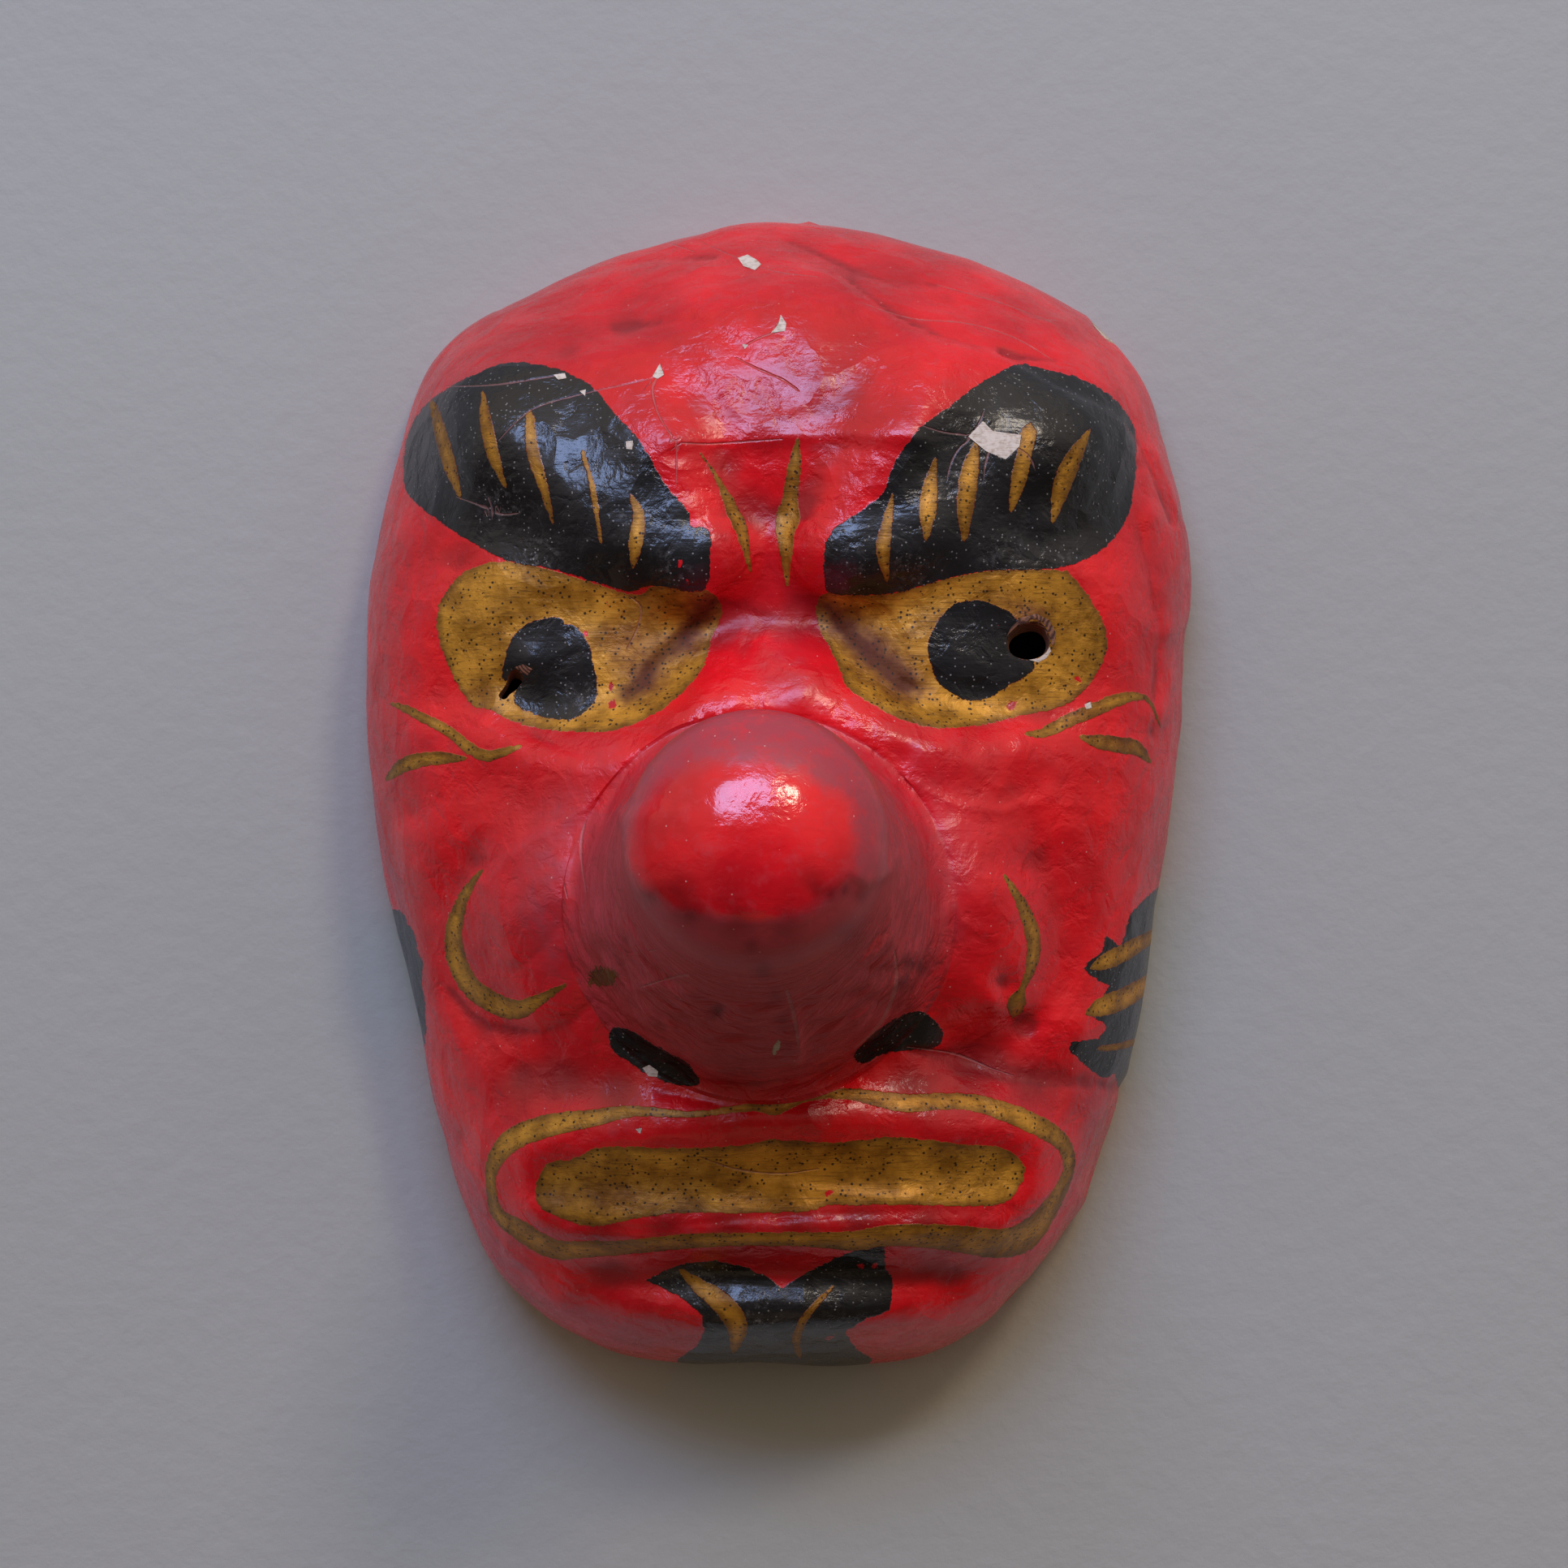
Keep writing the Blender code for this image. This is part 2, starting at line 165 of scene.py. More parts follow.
# Material slots of the shell
PAINTED, BARE, TORN = range(3)

# What the painted material reads at each point of the shell
PAINT_FIELDS = (
    "gold_edge", "black_edge", "chip_edge", "stroke_side", "stroke_half", "crack_side", "crack_half",
    "dusty", "thin_gold", "red_fleck", "rubbed", "shaded", "furrow", "ripple", "underlayer", "knob",
    "stained",
)


def linear(code, alpha=1.0):
    """An sRGB hex colour as linear light."""
    parts = [int(code[k : k + 2], 16) / 255 for k in (0, 2, 4)]
    return (*(c / 12.92 if c <= 0.04045 else ((c + 0.055) / 1.055) ** 2.4 for c in parts), alpha)


def length_choice(name, description, default):
    """A length that the sidebar offers."""
    return FloatProperty(name=name, description=description, default=default, unit="LENGTH")


class MaskSizes(bpy.types.PropertyGroup):
    """The sizes of the shell and of its nose."""

    width: length_choice("Width", "Temple to temple", HIGH.x - LOW.x)
    height: length_choice("Height", "Crown to chin", HIGH.y - LOW.y)
    depth: length_choice("Depth", "Rim plane to the top of the plain dome", 58 * MM)
    wall: length_choice("Wall", "Thickness of the pasted paper", 2.6 * MM)
    nose_length: length_choice("Nose Length", "From the dome to the knob's end, along the nose", 98 * MM)
    nose_tilt: FloatProperty(
        name="Nose Tilt",
        description="How far the nose leans towards the crown",
        default=math.radians(10.4),
        unit="ROTATION",
    )
    root_width: length_choice("Root Width", "Width of the nose where it leaves the cheeks", 72 * MM)
    shank_radius: length_choice("Shank Radius", "Above the root's flare", 29.5 * MM)
    neck_radius: length_choice("Neck Radius", "Behind the knob", 21.0 * MM)
    knob_radius: length_choice("Knob Radius", "Of the rounded end", 21.2 * MM)
    knob_length: length_choice("Knob Length", "Of the rounded end, along the nose", 20 * MM)
    flare: length_choice("Flare", "How high the root's flare reaches", 22 * MM)

    @property
    def half(self):
        """Half of the width and half of the height."""
        return np.array((self.width / 2, self.height / 2))


def smooth_line(points, steps, closed=False):
    """Points along a smooth curve through the given ones."""
    points = np.array(points, float)
    if closed:
        padded = np.vstack((points[-1:], points, points[:2]))
    else:
        padded = np.vstack((points[:1], points, points[-1:]))
    t = (np.arange(steps) / steps)[:, None]
    found = []
    for k in range(len(padded) - 3):
        before, start, end, after = padded[k : k + 4]
        bend = 2 * before - 5 * start + 4 * end - after
        turn = 3 * start - before - 3 * end + after
        found.extend(start + 0.5 * ((end - before) * t + bend * t**2 + turn * t**3))
    if not closed:
        found.append(points[-1])
    return np.array(found)


def outline(sizes):
    """The rim seen from the front: a closed curve whose box is as wide and as high as the mask."""
    line = smooth_line(np.array(OUTLINE) * sizes.half, OUTLINE_STEPS, True)
    low, high = line.min(axis=0), line.max(axis=0)
    return (line - (low + high) / 2) * 2 * sizes.half / (high - low)


def rim_points(sizes, count):
    """count points at equal distances round the rim, in plan."""
    line = outline(sizes)
    line = np.vstack((line, line[:1]))
    run = np.concatenate(([0.0], np.cumsum(np.hypot(*np.diff(line, axis=0).T))))
    wanted = np.linspace(0, run[-1], count + 1)[:-1]
    return np.column_stack([np.interp(wanted, run, line[:, k]) for k in (0, 1)])


def share_of_reach(sizes, x, y):
    """How far out a point is on its way from the middle to the rim, from 0 to 1."""
    line = outline(sizes)
    angles = np.arctan2(line[:, 1], line[:, 0])
    order = np.argsort(angles)
    reach = np.hypot(*line[order].T)
    here = np.interp(np.arctan2(y, x), angles[order], reach, period=2 * math.pi)
    return np.clip(np.hypot(x, y) / here, 0, 1)


def lump(sizes, x, y, middle, reach, rise, edge=2.0, turn=0.0):
    """A rounded lump, or a hollow where it sinks. A larger edge gives a flatter top."""
    half = sizes.half
    across = x - middle[0] * half[0]
    along = y - middle[1] * half[1]
    c, s = math.cos(turn), math.sin(turn)
    u = (across * c + along * s) / (reach[0] * half[0])
    v = (along * c - across * s) / (reach[1] * half[1])
    return rise * sizes.depth * np.exp(-(np.hypot(u, v) ** edge))


def welt(sizes, x, y, line, rise, edge=2.0):
    """A ridge along a line, or a furrow where it sinks. Each point of the line is (x, y, reach)."""
    half = sizes.half
    points = smooth_line(line, 4) * (half[0], half[1], half[0])
    nearest = np.full(np.shape(x), np.inf)
    for (ax, ay, start), (bx, by, end) in zip(points[:-1], points[1:]):
        dx, dy = bx - ax, by - ay
        t = np.clip(((x - ax) * dx + (y - ay) * dy) / (dx * dx + dy * dy), 0, 1)
        away = np.hypot(x - ax - t * dx, y - ay - t * dy)
        nearest = np.minimum(nearest, away / (start + (end - start) * t))
    return rise * sizes.depth * np.exp(-(nearest**edge))


def colour_choice(name, description, code):
    """A colour that the sidebar offers, with an sRGB hex default."""
    return FloatVectorProperty(
        name=name, description=description, subtype="COLOR", size=3, min=0, max=1, default=linear(code)[:3]
    )


class MaskColours(bpy.types.PropertyGroup):
    """The colours of the paints, of the bare paper and of the floor."""

    red_deep: colour_choice("Deep Red", "Enamel where it pooled", "C60E1B")
    red_bright: colour_choice("Bright Red", "Enamel where it was brushed out", "EC1520")
    red_thin: colour_choice("Thin Red", "Enamel between the brush's grooves", "D01C22")
    # First coat below the knob's lip; its colour is also painted purple-grey sheen and shade of the underside
    red_under_sheen_shade: colour_choice("Under Red", "First coat, below the knob's lip", "B43C42")
    # Darker red: dirt and painted shade in the furrows, and painted shade round the lips and on the forehead
    red_shade_and_dirt: colour_choice("Furrow Red", "Enamel and dirt in the furrows", "660812")
    # Paler red: enamel worn on the ridges, and painted highlights on the creases under the nose
    red_worn_and_highlight: colour_choice("Worn Red", "Enamel rubbed thin on the ridges", "CC3A42")
    # Matt pink: rubbed enamel, and painted sheen on the knob, the nose's flanks and the walls
    red_rubbed_and_sheen: colour_choice("Rubbed Red", "Enamel rubbed matt on the nose", "A83640")
    dust: colour_choice("Dust", "Motes caught in the enamel", "E7B3AC")
    gold_dull: colour_choice("Dull Gold", "Bronze paint, laid thick", "94620F")
    gold_bright: colour_choice("Bright Gold", "Bronze paint, rubbed up", "D6982E")
    gold_binder: colour_choice("Gold Binder", "Brown binder of the bronze paint", "4A2C0C")
    gold_thin: colour_choice("Thin Gold", "Bronze paint over red", "64220E")
    # Brown over the gold: dirt and painted shade in the eyes' corner grooves and on the mouth
    gold_stain_and_shade: colour_choice("Stained Gold", "Dirt in the corners of the eyes and on the mouth", "521E0E")
    gold_pinhole: colour_choice("Gold Pinhole", "Pinholes in the bronze paint", "2C1D0B")
    black_deep: colour_choice("Deep Black", "Lacquer, laid thick", "141516")
    black_thin: colour_choice("Thin Black", "Lacquer, laid thin", "202122")
    black_dust: colour_choice("Lacquer Dust", "Dust and scuffs on the lacquer", "918E88")
    # The pale line of the cracks and seams: a painted highlight on their raised edges
    crack: colour_choice("Crack", "Dust in the cracks of the paint", "A97470")
    paper_light: colour_choice("Light Paper", "Clean pasted paper", "CDBEAA")
    paper_dark: colour_choice("Dark Paper", "Pasted paper at seams and fibres", "94806A")
    paper_inside: colour_choice("Inside Paper", "Pasted paper of the inside", "B5A285")
    paper_stain: colour_choice("Stained Paper", "Paper where paste soaked in", "8A6F4C")
    chip_light: colour_choice("Light Chip", "Paper under a fresh chip", "D9CCBB")
    chip_dark: colour_choice("Dark Chip", "Dirt on the paper of a chip", "A8937C")
    torn_light: colour_choice("Light Torn Paper", "Torn layers", "8E6045")
    torn_dark: colour_choice("Dark Torn Paper", "Dirty torn layers", "3E2218")
    floor_light: colour_choice("Light Floor", "Floor at its palest", "B4B4AC")
    floor_dark: colour_choice("Dark Floor", "Floor at its darkest", "A6A79F")


class StageLooks(bpy.types.PropertyGroup):
    """The size of the floor and the strength of the lights."""

    floor_side: FloatProperty(name="Floor Side", description="Side of the floor", default=6.0, unit="LENGTH")
    window_power: FloatProperty(
        name="Window Power", description="Of the wide soft window", default=12.6, unit="POWER"
    )
    pane_power: FloatProperty(
        name="Pane Power", description="Of the small bright pane", default=4.0, unit="POWER"
    )
    fill_power: FloatProperty(
        name="Fill Power", description="Of the dim light from below the chin", default=0.9, unit="POWER"
    )
    sky_strength: FloatProperty(name="Sky Strength", description="Of the light all round", default=0.98)


def brows(sizes, x, y):
    """The thick eyebrows, which climb from the nose to the temples, and the frown between them."""
    left = [(-0.62, 0.650, 0.22), (-0.48, 0.605, 0.22), (-0.32, 0.480, 0.18), (-0.20, 0.390, 0.13)]
    right = [(0.62, 0.645, 0.22), (0.46, 0.605, 0.22), (0.30, 0.480, 0.17), (0.17, 0.395, 0.12)]
    rise = welt(sizes, x, y, left, 0.125, 3.6) + welt(sizes, x, y, right, 0.125, 3.6)
    rise = rise + lump(sizes, x, y, (0.04, 0.680), (0.40, 0.195), 0.080, 6.0)
    rise = rise + lump(sizes, x, y, (0.04, 0.780), (0.46, 0.170), 0.055, 2.4)
    rise = rise + lump(sizes, x, y, (-0.68, 0.600), (0.17, 0.150), 0.060, 2.2)
    rise = rise + lump(sizes, x, y, (0.66, 0.600), (0.17, 0.150), 0.050, 2.2)
    return rise + lump(sizes, x, y, (-0.02, 0.290), (0.18, 0.085), -0.070)


def eyes(sizes, x, y):
    """Bulging eyes in sockets under the brows, with a hollow at each inner corner."""
    rise = lump(sizes, x, y, (-0.45, 0.215), (0.34, 0.135), -0.105, 4.0, 0.10)
    rise = rise + lump(sizes, x, y, (0.41, 0.220), (0.34, 0.135), -0.105, 4.0, -0.10)
    rise = rise + lump(sizes, x, y, (-0.50, 0.255), (0.26, 0.115), 0.085, 2.6)
    rise = rise + lump(sizes, x, y, (0.45, 0.265), (0.26, 0.115), 0.085, 2.6)
    left_corner = [(-0.15, 0.295, 0.08), (-0.24, 0.244, 0.09), (-0.31, 0.185, 0.07)]
    right_corner = [(0.11, 0.295, 0.08), (0.20, 0.237, 0.09), (0.27, 0.180, 0.07)]
    rise = rise + welt(sizes, x, y, left_corner, -0.025)
    return rise + welt(sizes, x, y, right_corner, -0.025)


def lower_lids(sizes, x, y):
    """The ridges under the eyes, which run up to the bridge of the nose."""
    left = [(-0.14, 0.150, 0.09), (-0.30, 0.085, 0.09), (-0.46, 0.060, 0.08), (-0.62, 0.085, 0.07)]
    right = [(0.08, 0.165, 0.09), (0.20, 0.115, 0.09), (0.36, 0.078, 0.08), (0.54, 0.080, 0.07)]
    return welt(sizes, x, y, left, 0.055) + welt(sizes, x, y, right, 0.055)


def cheeks(sizes, x, y):
    """The broad mass that carries the nose, its wings, and the folds that part them from the cheeks."""
    rise = lump(sizes, x, y, (-0.04, -0.170), (0.47, 0.300), 0.160, 3.0)
    rise = rise + lump(sizes, x, y, (-0.51, -0.205), (0.190, 0.160), 0.090, 2.6)
    to_left = [(-0.10, 0.140, 0.11), (-0.30, 0.050, 0.14), (-0.46, -0.060, 0.13), (-0.56, -0.170, 0.11)]
    to_right = [(0.06, 0.160, 0.11), (0.26, 0.090, 0.14), (0.40, -0.010, 0.13), (0.48, -0.140, 0.11)]
    rise = rise + welt(sizes, x, y, to_left, 0.045) + welt(sizes, x, y, to_right, 0.040)
    rise = rise + lump(sizes, x, y, (0.43, -0.205), (0.190, 0.160), 0.085, 2.6)
    left = [(-0.68, -0.120, 0.07), (-0.74, -0.230, 0.08), (-0.69, -0.355, 0.09), (-0.52, -0.425, 0.09)]
    right = [(0.58, -0.120, 0.07), (0.64, -0.230, 0.08), (0.60, -0.350, 0.09), (0.43, -0.420, 0.08)]
    rise = rise + welt(sizes, x, y, left, -0.060) + welt(sizes, x, y, right, -0.060)
    jowl = [(0.45, -0.420, 0.07), (0.60, -0.448, 0.07), (0.76, -0.460, 0.06)]
    return rise + welt(sizes, x, y, jowl, -0.040)


def mouth(sizes, x, y):
    """The mouth: a long mound with two lips round a shallow slot, under the fold below the nose."""
    rise = lump(sizes, x, y, (0.01, -0.622), (0.68, 0.150), 0.110, 4.5)
    upper = [(-0.56, -0.575, 0.06), (-0.39, -0.535, 0.07), (0.01, -0.522, 0.07)]
    upper = upper + [(0.28, -0.515, 0.07), (0.50, -0.530, 0.07), (0.60, -0.570, 0.06)]
    lower = [(-0.55, -0.690, 0.06), (-0.39, -0.722, 0.07), (-0.10, -0.716, 0.07)]
    lower = lower + [(0.26, -0.712, 0.07), (0.50, -0.714, 0.07), (0.60, -0.670, 0.06)]
    slot = [(-0.48, -0.632, 0.07), (0.01, -0.618, 0.09), (0.50, -0.612, 0.07)]
    rise = rise + welt(sizes, x, y, upper, 0.035) + welt(sizes, x, y, lower, 0.050)
    return rise + welt(sizes, x, y, slot, -0.045)


def chin(sizes, x, y):
    """The round chin under the lip."""
    crease = [(-0.36, -0.780, 0.08), (0.01, -0.778, 0.09), (0.38, -0.776, 0.08)]
    rise = lump(sizes, x, y, (0.01, -0.890), (0.42, 0.090), 0.180, 2.6)
    return rise + welt(sizes, x, y, crease, -0.045)


def face_height(sizes, x, y):
    """How far the outer skin stands above the rim plane."""
    share = share_of_reach(sizes, x, y)
    rise = y / np.maximum(np.hypot(x, y), 1e-9)
    upward, downward = np.clip(rise, 0, 1) ** 2, np.clip(-rise, 0, 1) ** 2
    fullness = TEMPLE_FULLNESS + (CROWN_FULLNESS - TEMPLE_FULLNESS) * upward
    fullness = fullness + (CHIN_FULLNESS - TEMPLE_FULLNESS) * downward
    plain = (1 - share**fullness) ** DOME_EDGE
    fade = 1 - np.clip((share - FADE_FROM) / (FADE_TO - FADE_FROM), 0, 1) ** 2
    carved = sum(part(sizes, x, y) for part in (brows, eyes, lower_lids, cheeks, mouth, chin))
    return sizes.depth * plain + carved * fade


def root_points(sizes, rim):
    """Where each spoke meets the egg-shaped root of the nose, in plan, and the spoke's direction."""
    half = sizes.half
    centre = NOSE_CENTRE * half
    away = rim - centre
    away = away / np.hypot(*away.T)[:, None]
    above = NOSE_BRIDGE_TOP * half[1] - centre[1]
    below = centre[1] - NOSE_BASE * half[1]
    long_way = np.where(away[:, 1] > 0, above, below)
    reach = 1 / np.hypot(away[:, 0] / (sizes.root_width / 2), away[:, 1] / long_way)
    return centre + away * reach[:, None], away


def face_rings(sizes, rim, rings):
    """Rings from the nose's root out to the rim, evenly spaced along each spoke's own slope."""
    root, _ = root_points(sizes, rim)
    fine = 1 - (1 - np.linspace(0, 1, SPOKE_STEPS)) ** 3
    plan = root + (rim - root) * fine[:, None, None]
    height = face_height(sizes, plan[..., 0], plan[..., 1]) * WALL_STEP_SHARE
    height[-1] = 0
    steps = np.diff(np.dstack((plan, height)), axis=0)
    run = np.vstack((np.zeros(len(rim)), np.cumsum(np.linalg.norm(steps, axis=2), axis=0)))
    found = np.empty((rings + 1, len(rim), 3))
    for k in range(len(rim)):
        share = np.interp(np.linspace(0, run[-1, k], rings + 1), run[:, k], fine)
        found[:, k, :2] = root[k] + (rim[k] - root[k]) * share[:, None]
    found[..., 2] = face_height(sizes, found[..., 0], found[..., 1])
    found[-1, :, 2] = 0
    return found


def nose_axis(sizes):
    """Which way the nose points."""
    return np.array((0.0, math.sin(sizes.nose_tilt), math.cos(sizes.nose_tilt)))


def nose_start(sizes):
    """Where the nose's axis meets the plain dome."""
    return np.array((*(NOSE_CENTRE * sizes.half), sizes.depth))


def nose_rings(sizes, rim, knob, shank, flare):
    """The knob's end point, and the rings from the knob down to just above the nose's root."""
    root, away = root_points(sizes, rim)
    axis, start = nose_axis(sizes), nose_start(sizes)
    upward = np.array((0.0, axis[2], -axis[1]))
    round_way = away[:, :1] * np.array((1.0, 0.0, 0.0)) + away[:, 1:] * upward
    knob_at = sizes.nose_length - sizes.knob_length
    rings = []
    for t in np.linspace(0, math.pi / 2, knob + 1)[1:]:
        centre = start + axis * (knob_at + sizes.knob_length * math.cos(t) ** KNOB_BLUNT)
        rings.append(centre + round_way * sizes.knob_radius * math.sin(t) ** KNOB_ROUND)
    for t in np.linspace(0, 1, shank + 1)[1:]:
        radius = sizes.neck_radius + (sizes.shank_radius - sizes.neck_radius) * t**SHANK_TAPER
        radius = radius + (sizes.knob_radius - sizes.neck_radius) * max(0, 1 - t / NECK_SHARE)
        along = knob_at + (sizes.flare - knob_at) * t
        rings.append(start + axis * along + round_way * radius)
    foot = np.column_stack((root, face_height(sizes, *root.T)))
    nearby = root - away * sizes.wall
    slope = (face_height(sizes, *nearby.T) - foot[:, 2]) / sizes.wall
    inward = np.column_stack((-away, slope))
    inward = inward / np.linalg.norm(inward, axis=1)[:, None]
    shank_end = rings[-1]
    down = shank_end - rings[-2]
    down = down / np.linalg.norm(down, axis=1)[:, None]
    gap = np.linalg.norm(foot - shank_end, axis=1)[:, None]
    shank_handle = shank_end + down * gap * SHANK_PULL
    foot_handle = foot + inward * gap * FOOT_PULL
    for t in np.linspace(0, 1, flare + 1)[1:-1]:
        upper = shank_end * (1 - t) ** 3 + shank_handle * 3 * t * (1 - t) ** 2
        rings.append(upper + foot_handle * 3 * t**2 * (1 - t) + foot * t**3)
    return start + axis * sizes.nose_length, np.array(rings)


def outwards(rings):
    """The direction away from the mask at each point of a stack of rings."""
    around = np.roll(rings, -1, axis=1) - np.roll(rings, 1, axis=1)
    out = np.cross(around, np.gradient(rings, axis=0))
    return out / np.linalg.norm(out, axis=2)[..., None]


# What is painted on the face, in pixels of the photograph: outlines of the filled shapes
GOLD_SHAPES = (
    (  # left eye
        (581, 700), (626, 692), (672, 700), (732, 719), (784, 733), (807, 722), (858, 724), (884, 737),
        (889, 759), (877, 784), (868, 819), (844, 850), (809, 878), (756, 900), (697, 901), (640, 892),
        (605, 875), (584, 870), (567, 850), (549, 812), (540, 780), (540, 749), (553, 724),
    ),
    (  # right eye
        (1006, 745), (1021, 730), (1083, 733), (1121, 726), (1170, 712), (1227, 702), (1304, 702),
        (1321, 710), (1346, 742), (1363, 777), (1362, 808), (1342, 843), (1314, 868), (1258, 882),
        (1205, 894), (1153, 897), (1107, 885), (1076, 868), (1044, 847), (1034, 822), (1020, 794),
        (1009, 773),
    ),
    (  # the bar between the lips
        (661, 1459), (675, 1434), (707, 1427), (746, 1413), (833, 1415), (914, 1411), (956, 1404),
        (1030, 1408), (1100, 1401), (1184, 1410), (1227, 1413), (1255, 1427), (1263, 1446), (1251, 1469),
        (1227, 1485), (1135, 1485), (1030, 1485), (995, 1492), (921, 1495), (851, 1494), (781, 1502),
        (735, 1511), (700, 1504), (665, 1487),
    ),
)
BLACK_SHAPES = (
    (  # left brow
        (619, 448), (675, 452), (711, 465), (735, 482), (760, 512), (784, 538), (802, 566), (823, 601),
        (849, 631), (851, 647), (874, 654), (875, 682), (867, 728), (802, 721), (775, 729), (721, 713),
        (675, 700), (621, 689), (553, 650), (505, 612), (497, 577), (505, 528), (539, 486),
    ),
    (  # right brow
        (1253, 449), (1206, 473), (1170, 501), (1135, 526), (1111, 556), (1095, 587), (1090, 605),
        (1062, 629), (1030, 649), (1016, 675), (1016, 713), (1021, 729), (1051, 734), (1100, 731),
        (1135, 722), (1170, 712), (1223, 703), (1297, 701), (1332, 691), (1363, 673), (1386, 643),
        (1397, 605), (1400, 549), (1395, 521), (1370, 489), (1339, 470), (1314, 461), (1276, 452),
    ),
    (  # left pupil
        (622, 813), (627, 794), (639, 777), (656, 766), (678, 761), (693, 763), (695, 769), (705, 770),
        (719, 782), (727, 799), (730, 816), (735, 837), (735, 854), (729, 869), (715, 881), (702, 887),
        (687, 886), (670, 883), (654, 878), (641, 874), (633, 863), (634, 852), (630, 845), (618, 836),
    ),
    (  # right pupil
        (1143, 802), (1146, 784), (1156, 764), (1171, 748), (1191, 740), (1212, 741), (1232, 748),
        (1245, 755), (1255, 764), (1260, 776), (1256, 795), (1258, 812), (1274, 815), (1273, 825),
        (1263, 834), (1245, 844), (1230, 853), (1214, 861), (1199, 863), (1181, 859), (1166, 849),
        (1154, 838), (1147, 820),
    ),
    (  # left nostril
        (753, 1269), (777, 1269), (805, 1287), (844, 1308), (861, 1329), (856, 1338), (833, 1336),
        (809, 1329), (781, 1313), (753, 1292),
    ),
    (  # right nostril
        (1051, 1304), (1069, 1280), (1097, 1259), (1130, 1246), (1149, 1255), (1162, 1273), (1160, 1283),
        (1149, 1292), (1114, 1294), (1086, 1299), (1065, 1310),
    ),
)
RAGGED_SHAPES = (
    (  # goatee, down to the rim
        (795, 1577), (833, 1559), (879, 1553), (921, 1562), (949, 1576), (963, 1588), (995, 1567),
        (1030, 1550), (1065, 1536), (1090, 1534), (1091, 1564), (1100, 1574), (1098, 1613), (1065, 1627),
        (1041, 1641), (1055, 1662), (1076, 1675), (1060, 1690), (850, 1690), (833, 1676), (858, 1659),
        (867, 1641), (865, 1620), (840, 1599), (816, 1587),
    ),
    (  # left sideburn, out over the side wall
        (484, 1121), (499, 1123), (500, 1136), (512, 1150), (513, 1167), (522, 1188), (519, 1201),
        (523, 1228), (525, 1266), (521, 1312), (450, 1330), (420, 1110),
    ),
    (  # right sideburn, out over the side wall
        (1428, 1092), (1412, 1106), (1391, 1128), (1388, 1145), (1381, 1166), (1363, 1153), (1356, 1175),
        (1332, 1189), (1346, 1204), (1367, 1215), (1358, 1231), (1341, 1248), (1353, 1257), (1365, 1264),
        (1353, 1280), (1314, 1285), (1318, 1294), (1328, 1304), (1349, 1322), (1360, 1329), (1374, 1322),
        (1377, 1339), (1386, 1345), (1470, 1360), (1500, 1080),
    ),
)
CHIP_SHAPES = (
    ((909, 318), (921, 314), (932, 320), (938, 326), (930, 333), (916, 328)),
    ((962, 388), (969, 399), (967, 408), (950, 410), (959, 400)),
    ((813, 448), (818, 462), (810, 467), (804, 464)),
    ((1211, 519), (1223, 531), (1258, 536), (1256, 550), (1239, 566), (1215, 556), (1193, 538)),
    ((682, 462), (696, 460), (698, 466), (688, 468)),
    ((714, 482), (722, 480), (721, 488)),
    ((771, 544), (780, 543), (779, 554), (772, 553)),
    ((792, 1316), (800, 1312), (811, 1320), (810, 1327), (799, 1326)),
    ((1336, 868), (1343, 865), (1345, 872), (1338, 874)),
    ((922, 425), (918, 430), (914, 424)),
    ((1344, 388), (1352, 396), (1372, 412), (1398, 424), (1400, 442), (1384, 430), (1362, 418), (1346, 400)),
    ((783, 1391), (791, 1390), (789, 1397)),
)

# More places where the paper shows: the lower lip of the right sight hole, and torn layers at both
BARE_LIPS = (
    ((1268, 813), (1280, 811), (1289, 804), (1293, 797), (1295, 802), (1289, 811), (1279, 816)),
)
TORN_LIPS = (
    (
        (1239, 786), (1246, 772), (1258, 761), (1276, 756), (1293, 764), (1301, 780), (1298, 797),
        (1293, 788), (1286, 773), (1272, 767), (1258, 769), (1248, 779),
    ),
    ((634, 822), (645, 818), (656, 824), (650, 832), (640, 828)),
)

